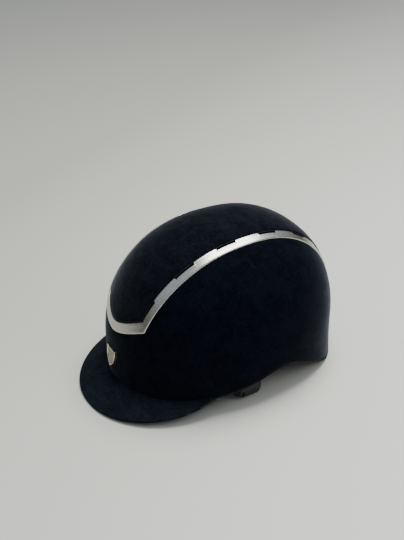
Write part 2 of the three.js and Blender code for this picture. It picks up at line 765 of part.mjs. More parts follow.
function bucklePlug(side) {
  const yoke = box([PLUG_START, -10.5, 0.5], [PRONG_ROOT, 10.5, 8.1]);
  const tongue = box([PRONG_ROOT - 1, -2.4, 2.3], [PRONG_ROOT + 19, 2.4, 6.3]);
  return onChinStrap(cut(join(yoke, tongue), ...webPassage), side);
}

// One prong, at the plug's -Y (-1) or +Y (1) edge as drawn, with an outward barb to press on.
function plugProng(side, edge) {
  const outline = [
    [0, 5.8],
    [0, 9.2],
    [8, 9.5],
    [9.5, 12],
    [16, 12],
    [PRONG_LENGTH, 8.6],
    [PRONG_LENGTH, 7],
    [3, 5.8],
  ].map(([along, off]) => [PRONG_ROOT + TOUCH_GAP + along, edge * off]);
  return onChinStrap(extrude(outline, 4.6).translate(0, 0, 2), side);
}

// The socket: a flat tube with side windows that the prongs' barbs spring into.
function buckleSocket(side) {
  const body = box([PLUG_START, -12.4, 0.4], [PLUG_START + 36, 12.4, 9.4]);
  const mouth = box([PLUG_START + 12, -10, 1.8], [PLUG_START + 37, 10, 8]);
  const sides = box([PLUG_START + 16, -14, 2.2], [PLUG_START + 26, 14, 7.6]);
  return onChinStrap(cut(body, mouth, sides, ...webPassage), side);
}

// Padded sleeve on the socket's webbing, with a rounded section.
function chinPad(side) {
  const corner = (value, half) => Math.sign(value) * Math.sqrt(Math.abs(value)) * half;
  const outline = Array.from({ length: 16 }, (_, i) => {
    const turn = (2 * Math.PI * i) / 16;
    return [corner(Math.cos(turn), 10.8), corner(Math.sin(turn), 3.8)];
  });
  const sleeve = acrossX(extrude(outline, 38)).translate(15, 0, CHIN_Z);
  const passage = box([14, -WEB_CLEAR, CHIN_Z - 1], [54, WEB_CLEAR, CHIN_Z + 1]);
  return onChinStrap(cut(sleeve, passage), side);
}

// Elastic keeper that holds the webbing's tail on the plug's side.
function strapKeeper(side) {
  const outer = box([34, -8.4, CHIN_Z - 2.4], [42, 8.4, CHIN_Z + 2.4]);
  return onChinStrap(cut(outer, box([33, -WEB_CLEAR, CHIN_Z - 1], [43, WEB_CLEAR, CHIN_Z + 1])), side);
}

// ---------------------------------------------------------------- nape cradle and dial
const TOOTH_PITCH = (2 * Math.PI * PINION_RADIUS) / PINION_TEETH;
const TOOTH_HALF = 0.42; // half thickness at the pitch line, thinned for backlash
const [TOOTH_RISE, TOOTH_ROOT] = [0.65, 0.95];
const BAND_HEIGHT = 35; // middle of the arms' bands at the sides of the head
const HOUSING_HALF = 19;
const HOUSING_RISE = 13;
const RAIL_RISE = 11.4;
const SCREW_X = 15;

// The dial's pinion and the shaft that carries the knob, along +Y.
function dialPinion() {
  const points = [];
  for (let i = 0; i < PINION_TEETH; i++) {
    const middle = ((i + 0.5) * 2 * Math.PI) / PINION_TEETH;
    for (const [reach, half] of [
      [PINION_RADIUS - TOOTH_ROOT, TOOTH_HALF + 0.3],
      [PINION_RADIUS + TOOTH_RISE, TOOTH_HALF - 0.24],
      [PINION_RADIUS + TOOTH_RISE, 0.24 - TOOTH_HALF],
      [PINION_RADIUS - TOOTH_ROOT, -TOOTH_HALF - 0.3],
    ]) {
      const turn = middle - half / PINION_RADIUS;
      points.push([reach * Math.cos(turn), reach * Math.sin(turn)]);
    }
  }
  const gear = extrude(points, RACK_THICK).rotateX(Math.PI / 2).translate(0, RACK_THICK / 2, 0);
  const shaft = new THREE.CylinderGeometry(3.4, 3.4, 5, 16).translate(0, RACK_THICK / 2 + 2, 0);
  return join(gear, shaft).translate(0, DIAL_Y, DIAL_HEIGHT);
}

// The knob: a scalloped grip with a socket for the pinion's shaft.
function dialKnob() {
  const points = Array.from({ length: 60 }, (_, i) => {
    const turn = (2 * Math.PI * i) / 60;
    const reach = 15.3 + 0.7 * Math.cos(12 * turn);
    return [reach * Math.cos(turn), reach * Math.sin(turn)];
  });
  const grip = extrude(points, 9).rotateX(Math.PI / 2).translate(0, DIAL_Y + 13.2, DIAL_HEIGHT);
  const socket = new THREE.CylinderGeometry(3.7, 3.7, 4, 16).translate(0, DIAL_Y + 3.7, DIAL_HEIGHT);
  return cut(grip, socket);
}

// A plate of the housing between two depths, as wide as the tracks.
const housingPlate = (near, far) =>
  box(
    [-HOUSING_HALF, DIAL_Y + near, DIAL_HEIGHT - HOUSING_RISE],
    [HOUSING_HALF, DIAL_Y + far, DIAL_HEIGHT + HOUSING_RISE],
  );

const screwPlace = (side) => [side * SCREW_X, DIAL_Y, DIAL_HEIGHT + side * RAIL_RISE];
const screwHole = (side) => new THREE.CylinderGeometry(1.3, 1.3, 12, 10).translate(...screwPlace(side));

// The plate on the head's side of the racks, with rails above and below them.
function dialHousing() {
  const rails = [-1, 1].map((side) => {
    const middle = DIAL_HEIGHT + side * RAIL_RISE;
    return box([-HOUSING_HALF, DIAL_Y - 2, middle - 1.6], [HOUSING_HALF, DIAL_Y + 1.4, middle + 1.6]);
  });
  return cut(join(housingPlate(-3.4, -1.4), ...rails), screwHole(-1), screwHole(1));
}

function dialCover() {
  const hole = new THREE.CylinderGeometry(3.8, 3.8, 6, 20).translate(0, DIAL_Y + 2.5, DIAL_HEIGHT);
  return cut(housingPlate(1.7, 3.3), hole, screwHole(-1), screwHole(1));
}

function dialScrew(side) {
  const half = [
    [0, -2.6],
    [1, -2.6],
    [1, 3.6],
    [2.4, 3.6],
    [2.4, 4.6],
    [0, 4.9],
  ];
  const turned = new THREE.LatheGeometry(half.map(([r, h]) => new THREE.Vector2(r, h)), 12);
  return turned.translate(...screwPlace(side));
}

// A cradle arm: a toothed rack in the housing's track, then a band round the side of the head.
// The left arm's rack lies above the pinion and the right arm's below it.
function cradleArm(side) {
  const [near, far] = [PINION_RADIUS - TOOTH_RISE, 9.4];
  const root = PINION_RADIUS + TOOTH_ROOT;
  const points = [[30, far], [-16, far], [-16, root]];
  for (let k = -5; k <= 5; k++) {
    const middle = k * TOOTH_PITCH;
    points.push(
      [middle - TOOTH_HALF - 0.32, root],
      [middle - TOOTH_HALF + 0.24, near],
      [middle + TOOTH_HALF - 0.24, near],
      [middle + TOOTH_HALF + 0.32, root],
    );
  }
  points.push([30, root]);
  const rack = extrude(points, RACK_THICK).rotateX(Math.PI / 2).translate(0, RACK_THICK / 2, 0);
  if (side < 0) rack.rotateY(Math.PI);
  rack.translate(0, DIAL_Y, DIAL_HEIGHT);
  const lane = DIAL_HEIGHT + side * 7.7;
  const curve = new THREE.CatmullRomCurve3(
    [
      [28, 97.4, 0],
      [35, 95.4, 0.1],
      [48, 84, 0.5],
      [58.5, 67, 0.9],
      [65, 50, 1],
      [68.2, 37, 1],
    ].map(([x, y, rise]) => new THREE.Vector3(side * x, CENTRE_Y + y, lane + rise * (BAND_HEIGHT - lane))),
  );
  const band = loft(
    Array.from({ length: 14 }, (_, i) => {
      const t = i / 13;
      const along = curve.getTangent(t);
      const through = new THREE.Vector3(along.y, -along.x, 0).normalize().multiplyScalar(RACK_THICK / 2);
      const height = 1.7 + 4.3 * Math.sin((Math.PI * Math.min(t * 1.35, 1)) / 2) * (1 - 0.35 * t ** 6);
      const up = new THREE.Vector3(0, 0, height);
      const middle = curve.getPoint(t);
      return [
        middle.clone().add(up).add(through).toArray(),
        middle.clone().add(up).sub(through).toArray(),
        middle.clone().sub(up).sub(through).toArray(),
        middle.clone().sub(up).add(through).toArray(),
      ];
    }),
  );
  return join(rack, band);
}

// The strip that hangs the housing from a slot in the liner.
function cradleHanger() {
  const points = [
    [-1.7, 37.4],
    [0.1, 37.4],
    [1.9, 46.8],
    [14.6, 50],
    [14.6, 52],
    [0.4, 48.6],
  ].map(([back, up]) => [DIAL_Y + back, up]);
  return acrossX(extrude(points, 16)).translate(-8, 0, 0);
}

function napePad() {
  return thickPatch(10, 3, (u, v, side) => {
    const [across, up] = [2 * u - 1, 2 * v - 1];
    const swell = 6.5 * (1 - 0.35 * across ** 4) * (1 - 0.25 * up ** 4);
    const y = DIAL_Y - 3.7 - 3 * across ** 2 - (side ? swell : 0);
    return [26 * across, y, DIAL_HEIGHT + 15 * up * (1 - 0.15 * across ** 4)];
  });
}

// ---------------------------------------------------------------- assembly
const helmet = new THREE.Group();

function add(name, geometry, material) {
  const mesh = new THREE.Mesh(geometry, material);
  mesh.name = name;
  helmet.add(mesh);
}

const SIDES = [
  ["left", 1],
  ["right", -1],
];

add("side_cover", sideCover(), SUEDE);
add("outer_shell", outerShell(), SHELL_PLASTIC);
add("panel_moulding", panelLayer(PANEL_MOULDING, 0.3), SHELL_PLASTIC);
add("panel_cover", panelLayer(PANEL_SKIN, 0), SUEDE);
add("trim_frame", trimFrame(), BRUSHED);
add("foam_liner", foamLiner(), FOAM);
add("rim_binding", rimBinding(), RUBBER);
add("peak_cover", peakLayer(PEAK_COVER, 1), SUEDE);
add("peak_board", peakLayer(PEAK_BOARD, 0.96), SHELL_PLASTIC);
add("peak_lining", peakLayer(PEAK_LINING, 0.98), LINING_CLOTH);
add("badge_bezel", badgeBezel(), BADGE_METAL);
add("badge_inlay", badgeInlay(), BADGE_ENAMEL);
add("brow_pad", wallPad(-50, 50, 5, 34), PAD_CLOTH);
add("crown_pad", crownPad(), PAD_CLOTH);
add("nape_pad", napePad(), PAD_CLOTH);
for (const [name, side] of SIDES) {
  add(`vent_grille_${name}`, ventStrip(side, GRILLE, 0), MESH_BLACK);
  add(`side_pad_${name}`, wallPad(side * 64, side * 106, 6, 36), PAD_CLOTH);
  add(`front_anchor_${name}`, strapAnchor(side * FRONT_ANCHOR), BLACK_PLASTIC);
  add(`rear_anchor_${name}`, strapAnchor(side * REAR_ANCHOR), BLACK_PLASTIC);
  add(`front_strap_${name}`, sideStrap(side, FRONT_ANCHOR, TAB_FRONT + 3), WEBBING);
  add(`rear_strap_${name}`, sideStrap(side, REAR_ANCHOR, TAB_BACK - 3), WEBBING);
  add(`strap_divider_${name}`, divider(side), HARNESS_PLASTIC);
  add(`chin_strap_${name}`, chinStrap(side), WEBBING);
  add(`cradle_arm_${name}`, cradleArm(side), BLACK_PLASTIC);
  add(`dial_screw_${name}`, dialScrew(side), STEEL);
}
add("buckle_plug", bucklePlug(1), BLACK_PLASTIC);
add("plug_prong_front", plugProng(1, 1), BLACK_PLASTIC);
add("plug_prong_rear", plugProng(1, -1), BLACK_PLASTIC);
add("strap_keeper", strapKeeper(1), RUBBER);
add("buckle_socket", buckleSocket(-1), BLACK_PLASTIC);
add("chin_pad", chinPad(-1), CHIN_LEATHER);
add("dial_housing", dialHousing(), BLACK_PLASTIC);
add("dial_cover", dialCover(), BLACK_PLASTIC);
add("dial_pinion", dialPinion(), HARNESS_PLASTIC);
add("dial_knob", dialKnob(), RUBBER);
add("cradle_hanger", cradleHanger(), BLACK_PLASTIC);

export default helmet;
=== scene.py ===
# The looks of an equestrian riding helmet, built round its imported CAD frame.
# Shapes are worked out in millimetres, in the frame of the CAD: +Z up, the peak
# points along -Y and the wearer's left is +X. Meshes are made in metres.
import math

import bmesh
import bpy
import numpy as np
from mathutils import Matrix, Vector


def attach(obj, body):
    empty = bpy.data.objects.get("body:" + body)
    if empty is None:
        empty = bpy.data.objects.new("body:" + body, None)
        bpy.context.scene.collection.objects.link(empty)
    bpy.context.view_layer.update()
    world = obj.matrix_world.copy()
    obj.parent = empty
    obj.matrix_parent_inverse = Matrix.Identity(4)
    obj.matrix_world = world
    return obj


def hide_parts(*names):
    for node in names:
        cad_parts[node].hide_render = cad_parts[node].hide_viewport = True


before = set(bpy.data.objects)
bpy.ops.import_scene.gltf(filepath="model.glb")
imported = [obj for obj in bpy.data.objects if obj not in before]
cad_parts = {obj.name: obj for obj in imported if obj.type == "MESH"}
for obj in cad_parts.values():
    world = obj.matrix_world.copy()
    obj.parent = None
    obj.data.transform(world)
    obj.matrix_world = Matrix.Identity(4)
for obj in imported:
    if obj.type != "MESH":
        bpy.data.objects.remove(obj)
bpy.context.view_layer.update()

# ---- driving dimensions
# Lengths are in millimetres and angles in degrees, unless a line says otherwise.
MM = 0.001
CENTRE_Y = 17.5
EQUATOR = 57.5
HALF_WIDTH = 106.3
FRONT_LENGTH = 131.9
REAR_LENGTH = 133.5
CROWN_RISE = 125.5
CROWN_LEAN = 6.3
# Shares at the front, the side and the back: how the wall tapers below the equator, and the
# power of the curve above it. The plan has one power for its front half and one for its rear.
WALL_TAPER = (0.005, 0.046, -0.019)
TAPER_DEPTH = 50
CROWN_POWER = (2.18, 2.01, 2.14)
PLAN_POWER = (2.13, 2.27)

# Insets of each layer's two faces below the dome. The layers stop a little above the rim.
LINER = (5.3, 25)
PADS = (26.6, 32.6)
TRIM = (-1.0, 0.8)
LAYER_LIFT = 2.6

# The trim frame: pitches of its cross bars and vents, widths of its rails.
FRAME_FRONT = 19.7
FRAME_REAR = 158
FRAME_BEND = 8.9
BEND_POWER = 1.6
BAR_PITCH = 5.2
BOW_FADE = 25
RAIL_WIDE = 8.6
RAIL_NARROW = 5.8
WIDEST_PITCH = 62
WIDEST_HALF = 53.3
# Over how many degrees of pitch the frame narrows from its widest place, and by how much.
NARROWS_AHEAD = (42.3, 5.8)
NARROWS_BEHIND = (83.4, 11.3)
STEP_SLANT = 0.45
VENTS = (
    (25.2, 36.9), (52.3, 64.6), (78.6, 90.4), (104.4, 115), (126.5, 134.7), (144.5, 151.5),
)

# The peak: how far it reaches, how far round it goes and how it falls away.
PEAK_REACH = 35.5
PEAK_HALF_ANGLE = 61
PEAK_FALLOFF = 1.12
PEAK_SPREAD = 0.976
PEAK_ROOT_RISE = 22
PEAK_THICK = 3.6

BADGE_WIDTH = 21
BADGE_HEIGHT = 23.6
BADGE_MIDDLE = 46.5
BADGE_LIFT = 1.0
BADGE_LEAN = math.atan(CROWN_LEAN / CROWN_RISE) + math.radians(5)

WEB_WIDTH = 13
WEB_THICK = 1.4
FRONT_ANCHOR = 58
REAR_ANCHOR = 122
ANCHOR_INSET = 17
BAR_X = 83
BAR_Y = CENTRE_Y - 8
BAR_Z = 7
TAB_FRONT = BAR_Y - 14
TAB_BACK = BAR_Y + 9.4
TAB_HEIGHT = 14.6
TAB_MIDDLE = 12.5
POCKET_X = 89.1
CHIN_SKEW = 20
LOOP_BORE = 2
CHIN_Z = BAR_Z - LOOP_BORE - WEB_THICK / 2
CHIN_LENGTH = 66

DIAL_HEIGHT = 24
DIAL_Y = CENTRE_Y + 97.4

SIDES = (("left", 1), ("right", -1))

# A piece's slot has its material's name, without the number that Blender adds to a name already taken.
UPWARD = (0, 0, 1)

# Corners closer than this are joined. Faces flatter than one angle are merged, and edges
# sharper than the other are rounded.
JOIN_DISTANCE = 0.003
FLAT_ANGLE = 2
SHARP_ANGLE = 28


# ---- the dome's shape
def through_knots(angle, knots):
    """A smooth curve through (angle, value) pairs, the same on both sides of the helmet."""
    at, value = np.array(knots, float).T
    a = np.minimum(np.abs(angle), 360 - np.abs(angle))
    step = np.diff(value) / np.diff(at)
    slope = np.zeros(len(at))
    for k in range(1, len(at) - 1):
        before, after = step[k - 1], step[k]
        slope[k] = 2 * before * after / (before + after) if before * after > 0 else 0
    i = np.clip(np.searchsorted(at, a, side="left") - 1, 0, len(at) - 2)
    span = at[i + 1] - at[i]
    t = np.clip((a - at[i]) / span, 0, 1)
    return (
        (2 * t**3 - 3 * t**2 + 1) * value[i]
        + (t**3 - 2 * t**2 + t) * span * slope[i]
        + (3 * t**2 - 2 * t**3) * value[i + 1]
        + (t**3 - t**2) * span * slope[i + 1]
    )


RIM_KNOTS = (
    (0, 18), (30, 18), (55, 21), (80, 28.2), (105, 39.6), (130, 19.6), (149, 0), (164, 0), (180, 2),
)
ROOT_KNOTS = (
    (0, PEAK_ROOT_RISE),
    (40, PEAK_ROOT_RISE - 0.8),
    (70, PEAK_ROOT_RISE + 5.2),
    (100, PEAK_ROOT_RISE + 12),
)


def rim_height(angle):
    """Height of the shell's lower edge."""
    return through_knots(angle, RIM_KNOTS)


def around(angle, front, side, back):
    """A value that passes smoothly from the front to the side and the back."""
    w = (1 - np.cos(np.radians(angle))) / 2
    return front * (1 - w) ** 2 + side * 2 * w * (1 - w) + back * w**2


def profile(angle, rise, inset):
    """How wide the dome is, from 0 to 1 of its plan, at a height above the equator."""
    wall = 1 - around(angle, *WALL_TAPER) * (np.minimum(rise, 0) / TAPER_DEPTH) ** 2
    power = around(angle, *CROWN_POWER)
    share = np.clip(rise / (CROWN_RISE - inset), 0, 1)
    return np.where(rise < 0, wall, (1 - share**power) ** (1 / power))


def plan_radius(angle, inset):
    """How far the dome reaches from its middle at the equator."""
    sin, cos = np.abs(np.sin(np.radians(angle))), np.cos(np.radians(angle))
    length = np.where(cos > 0, FRONT_LENGTH, REAR_LENGTH) - inset
    power = np.where(cos > 0, *PLAN_POWER)
    return ((sin / (HALF_WIDTH - inset)) ** power + (np.abs(cos) / length) ** power) ** (-1 / power)


def lean(rise):
    """How far back the dome has leaned at a height above the equator."""
    return CROWN_LEAN * np.clip(rise / CROWN_RISE, -0.5, 1)


def dome_point(angle, height, inset):
    """The dome's point at a plan angle (0 at the front, 90 on the wearer's left) and height."""
    angle, height, inset = np.broadcast_arrays(*(np.asarray(v, float) for v in (angle, height, inset)))
    rise = height - EQUATOR
    radius = plan_radius(angle, inset) * profile(angle, rise, inset)
    x = radius * np.sin(np.radians(angle))
    y = CENTRE_Y - radius * np.cos(np.radians(angle)) + lean(rise)
    return np.stack([x, y, height], -1)


def pitch_point(pitch, x, inset):
    """The dome's point at a pitch (0 forwards, 90 up, 180 backwards) and a distance x off centre."""
    pitch, x, inset = np.broadcast_arrays(*(np.asarray(v, float) for v in (pitch, x, inset)))
    ahead, up = -np.cos(np.radians(pitch)), np.sin(np.radians(pitch))
    near, far = np.full(pitch.shape, 10.0), np.full(pitch.shape, 200.0)
    for _ in range(34):
        reach = (near + far) / 2
        rise = reach * up
        y = reach * ahead - lean(rise)
        angle = np.degrees(np.arctan2(x, -y))
        limit = plan_radius(angle, inset) * profile(angle, rise, inset)
        inside = (rise < CROWN_RISE - inset) & (np.hypot(x, y) < limit)
        near = np.where(inside, reach, near)
        far = np.where(inside, far, reach)
    return np.stack([x, CENTRE_Y + near * ahead, EQUATOR + near * up], -1)


# ---- the frame's outline
def frame_half(pitch):
    """Half width of the trim frame's outer edge at a pitch."""
    ahead = ((WIDEST_PITCH - pitch) / NARROWS_AHEAD[0]) ** 2 * NARROWS_AHEAD[1]
    behind = (np.maximum(pitch - WIDEST_PITCH, 0) / NARROWS_BEHIND[0]) ** 1.5 * NARROWS_BEHIND[1]
    return WIDEST_HALF - np.where(pitch < WIDEST_PITCH, ahead, behind)


def bowed(pitch, across):
    """Cross bars bow outwards at their middle; past the bars the bow fades along the panel."""
    front = np.maximum(0, 1 - np.maximum(0, pitch - FRAME_FRONT - BAR_PITCH) / BOW_FADE) ** 2
    rear = np.maximum(0, 1 - np.maximum(0, FRAME_REAR - pitch - BAR_PITCH) / BOW_FADE) ** 2
    return pitch + FRAME_BEND * (1 - np.abs(across) ** BEND_POWER) * (rear - front)


def rail_width(pitch):
    """The rail is narrow beside each vent, with a short slanted step at each end."""
    narrow = np.zeros(np.shape(pitch))
    for low, high in VENTS:
        rising = np.clip((pitch - low) / STEP_SLANT + 0.5, 0, 1)
        falling = np.clip((high - pitch) / STEP_SLANT + 0.5, 0, 1)
        narrow = np.maximum(narrow, np.minimum(rising, falling))
    return RAIL_WIDE - (RAIL_WIDE - RAIL_NARROW) * narrow


def frame_outline():
    """Outer and inner edge of the frame as (pitch, x) pairs, once round from the front bar."""
    across = np.linspace(-1, 1, 49)
    outer, inner = [], []

    def bar(pitch, inward, rail, direction):
        for a in direction * across:
            outer.append((bowed(pitch, a), frame_half(pitch) * a))
            inner.append((bowed(pitch + inward, a), (frame_half(pitch + inward) - rail) * a))

    def side_rail(side, pitches):
        for p in pitches:
            kept = np.clip(p, FRAME_FRONT + BAR_PITCH + 0.5, FRAME_REAR - BAR_PITCH)
            outer.append((p, side * frame_half(p)))
            inner.append((kept, side * (frame_half(kept) - rail_width(kept))))

    edges = np.array([e + d for vent in VENTS for e in vent for d in (-0.3, -0.12, 0.12, 0.3)])
    pitches = np.union1d(np.arange(21, 157.2, 0.8), edges)
    bar(FRAME_FRONT, BAR_PITCH, RAIL_NARROW, 1)
    side_rail(1, pitches)
    bar(FRAME_REAR, -BAR_PITCH, RAIL_WIDE, -1)
    side_rail(-1, pitches[::-1])
    return np.array(outer), np.array(inner)


def frame_foot(angle):
    """Height at which the line up the dome at a plan angle passes under the frame's outer edge."""
    low, high = np.full(angle.shape, EQUATOR), np.full(angle.shape, EQUATOR + CROWN_RISE - 1)
    for _ in range(30):
        middle = (low + high) / 2
        x, y, z = np.moveaxis(dome_point(angle, middle, 0), -1, 0)
        pitch = np.degrees(np.arctan2(z - EQUATOR, CENTRE_Y - y))
        straight = pitch
        for _ in range(12):
            across = np.clip(x / frame_half(straight), -1, 1)
            straight = straight + 0.7 * (pitch - bowed(straight, across))
        inside = (np.abs(x) < frame_half(straight)) & (straight > FRAME_FRONT) & (straight < FRAME_REAR)
        high = np.where(inside, middle, high)
        low = np.where(inside, low, middle)
    return low


# ---- the peak's shape
def peak_point(angle, out, depth, inset, beyond=0.0):
    """A point of the peak: out runs from 0 at the shell to 1 at the edge, depth is below its top."""
    share = np.maximum(np.cos(np.radians(angle * 90 / PEAK_HALF_ANGLE)), 0) ** PEAK_FALLOFF
    root = dome_point(angle, through_knots(angle, ROOT_KNOTS), inset)
    heading = unit(np.stack([PEAK_SPREAD * np.sin(np.radians(angle)), -np.cos(np.radians(angle))], -1))
    reach = (PEAK_REACH * share + 1) * out + beyond
    drop = (PEAK_ROOT_RISE - PEAK_THICK) * share * (0.8 * out + 0.2 * out**2)
    lowest = np.maximum(PEAK_THICK - depth, 0)
    x, y = np.moveaxis(root[..., :2] + heading * np.expand_dims(reach, -1), -1, 0)
    return np.stack([x, y, np.maximum(root[..., 2] - drop - depth, lowest)], -1)


# ---- meshes
def unit(vectors):
    """Vectors made one long."""
    return vectors / np.linalg.norm(vectors, axis=-1, keepdims=True)


def run_along(points):
    """Distance along a row of points, from 0 at the first."""
    return np.concatenate([[0], np.cumsum(np.linalg.norm(np.diff(points, axis=0), axis=1))])


def once_round(count):
    """Angles of a full turn, in radians."""
    return np.linspace(0, 2 * math.pi, count, endpoint=False)


def new_object(name, vertices, faces, uvs=None):
    """A smooth mesh object from vertices in millimetres; uvs gives one (u, v) for each vertex."""
    mesh = bpy.data.meshes.new(name)
    points = np.asarray(vertices, float).reshape(-1, 3) * MM
    mesh.from_pydata(points.tolist(), [], [list(f) for f in faces])
    build = bmesh.new()
    build.from_mesh(mesh)
    bmesh.ops.recalc_face_normals(build, faces=build.faces)
    build.to_mesh(mesh)
    build.free()
    if uvs is not None:
        layer = mesh.uv_layers.new(name="cloth")
        corner = np.zeros(len(mesh.loops), np.int32)
        mesh.loops.foreach_get("vertex_index", corner)
        layer.data.foreach_set("uv", (np.asarray(uvs, float).reshape(-1, 2) * MM)[corner].ravel())
    mesh.shade_smooth()
    obj = bpy.data.objects.new(name, mesh)
    bpy.context.scene.collection.objects.link(obj)
    return obj


def merge_near(mesh, distance):
    """Joins vertices closer than a distance in millimetres, so that no face is left without an area."""
    build = bmesh.new()
    build.from_mesh(mesh)
    bmesh.ops.remove_doubles(build, verts=build.verts, dist=distance * MM)
    bmesh.ops.dissolve_degenerate(build, edges=build.edges, dist=distance * MM)
    build.to_mesh(mesh)
    build.free()
    mesh.shade_smooth()


def modify(obj, kind, name, **settings):
    """Adds a modifier with its settings."""
    made = obj.modifiers.new(name, kind)
    for setting, value in settings.items():
        setattr(made, setting, value)


def round_edges(obj, width, segments, angle):
    """Rounds the edges sharper than an angle, then splits many-sided faces into sound triangles."""
    modify(
        obj, "BEVEL", "Rounded edges", width=width * MM, segments=segments, limit_method="ANGLE",
        angle_limit=math.radians(angle), harden_normals=True,
    )
    modify(obj, "TRIANGULATE", "Even triangles", ngon_method="BEAUTY", keep_custom_normals=True)


def grid_faces(rows, columns, start=0, wrap_rows=False, wrap_columns=False):
    """Quads over a grid of vertices that is stored row by row."""
    faces = []
    for r in range(rows if wrap_rows else rows - 1):
        near, far = start + r * columns, start + (r + 1) % rows * columns
        for c in range(columns if wrap_columns else columns - 1):
            right = (c + 1) % columns
            faces.append((near + c, near + right, far + right, far + c))
    return faces


def ring_object(name, sections, uvs=None):
    """Closed cross-sections that follow one another and meet at the end."""
    rows, columns = sections.shape[:2]
    return new_object(name, sections, grid_faces(rows, columns, 0, True, True), uvs)


def loft_object(name, sections, uvs=None):
    """Closed cross-sections in a row, capped at both ends."""
    rows, columns = sections.shape[:2]
    faces = grid_faces(rows, columns, 0, False, True)
    last = (rows - 1) * columns
    faces += [tuple(range(columns)), tuple(last + i for i in range(columns))]
    return new_object(name, sections, faces, uvs)


def patch_object(name, upper, lower):
    """A closed sheet between two grids of points of the same shape."""
    rows, columns = upper.shape[:2]
    size = rows * columns
    faces = grid_faces(rows, columns) + grid_faces(rows, columns, size)
    border = [(r * columns + c, r * columns + c + 1) for c in range(columns - 1) for r in (0, rows - 1)]
    border += [(r * columns + c, (r + 1) * columns + c) for r in range(rows - 1) for c in (0, columns - 1)]
    faces += [(a, b, size + b, size + a) for a, b in border]
    return new_object(name, np.concatenate([upper.reshape(-1, 3), lower.reshape(-1, 3)]), faces)


def lathe_object(name, outline, axis, origin, segments):
    """A body turned about an axis from (radius, height) points that start and end on the axis."""
    up = Vector(axis).normalized()
    side = up.orthogonal().normalized()
    other = up.cross(side)
    up, side, other, origin = (np.array(v, float) for v in (up, side, other, origin))
    arms = [math.cos(t) * side + math.sin(t) * other for t in once_round(segments)]
    rings = [origin + up * h + r * arm for r, h in outline[1:-1] for arm in arms]
    ends = [origin + up * outline[i][1] for i in (0, -1)]
    faces = grid_faces(len(outline) - 2, segments, 0, False, True)
    foot = len(rings)
    last = foot - segments
    for i in range(segments):
        j = (i + 1) % segments
        faces += [(foot, j, i), (foot + 1, last + i, last + j)]
    return new_object(name, rings + ends, faces)


def dress(obj, material, *replaced, body="helmet"):
    """Gives a piece its material and body, and hides the CAD nodes that it stands for."""
    obj.data.materials.clear()
    obj.data.materials.append(material)
    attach(obj, body)
    if replaced:
        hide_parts(*replaced)


def keep(node, material, width, segments):
    """A CAD node that stays: loose triangles joined to flat faces, edges rounded, and its material."""
    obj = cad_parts[node]
    obj.data.materials.clear()
    obj.data.materials.append(material)
    modify(obj, "WELD", "Joined corners", merge_threshold=JOIN_DISTANCE * MM)
    modify(obj, "DECIMATE", "Flat faces", decimate_type="DISSOLVE", angle_limit=math.radians(FLAT_ANGLE))
    round_edges(obj, width, segments, SHARP_ANGLE)
    obj.data.shade_smooth()


# ---- materials
SUEDE_TINT = (0.78, 0.87, 1.0, 1)
TRIM_LOW = (0.470, 0.462, 0.418)
TRIM_HIGH = (0.540, 0.535, 0.505)
FOAM_LOW = (0.009, 0.0095, 0.0105)
FOAM_HIGH = (0.017, 0.018, 0.0195)
WEB_LOW = (0.005, 0.0052, 0.0058)
WEB_HIGH = (0.021, 0.0215, 0.0235)
LEATHER_LOW = (0.007, 0.007, 0.0075)
LEATHER_HIGH = (0.014, 0.0138, 0.0142)
FIELD_LOW = (0.15, 0.122, 0.070)
FIELD_HIGH = (0.235, 0.200, 0.128)
# The floor's colour runs from painted shade on the far left to painted light on the near right.
FLOOR_PAINTED_SHADE = (0.485, 0.478, 0.43)
FLOOR_PAINTED_LIGHT = (0.885, 0.88, 0.82)


def shade(colour, amount):
    """A colour made lighter or darker."""
    return tuple(min(1.0, c * amount) for c in colour)


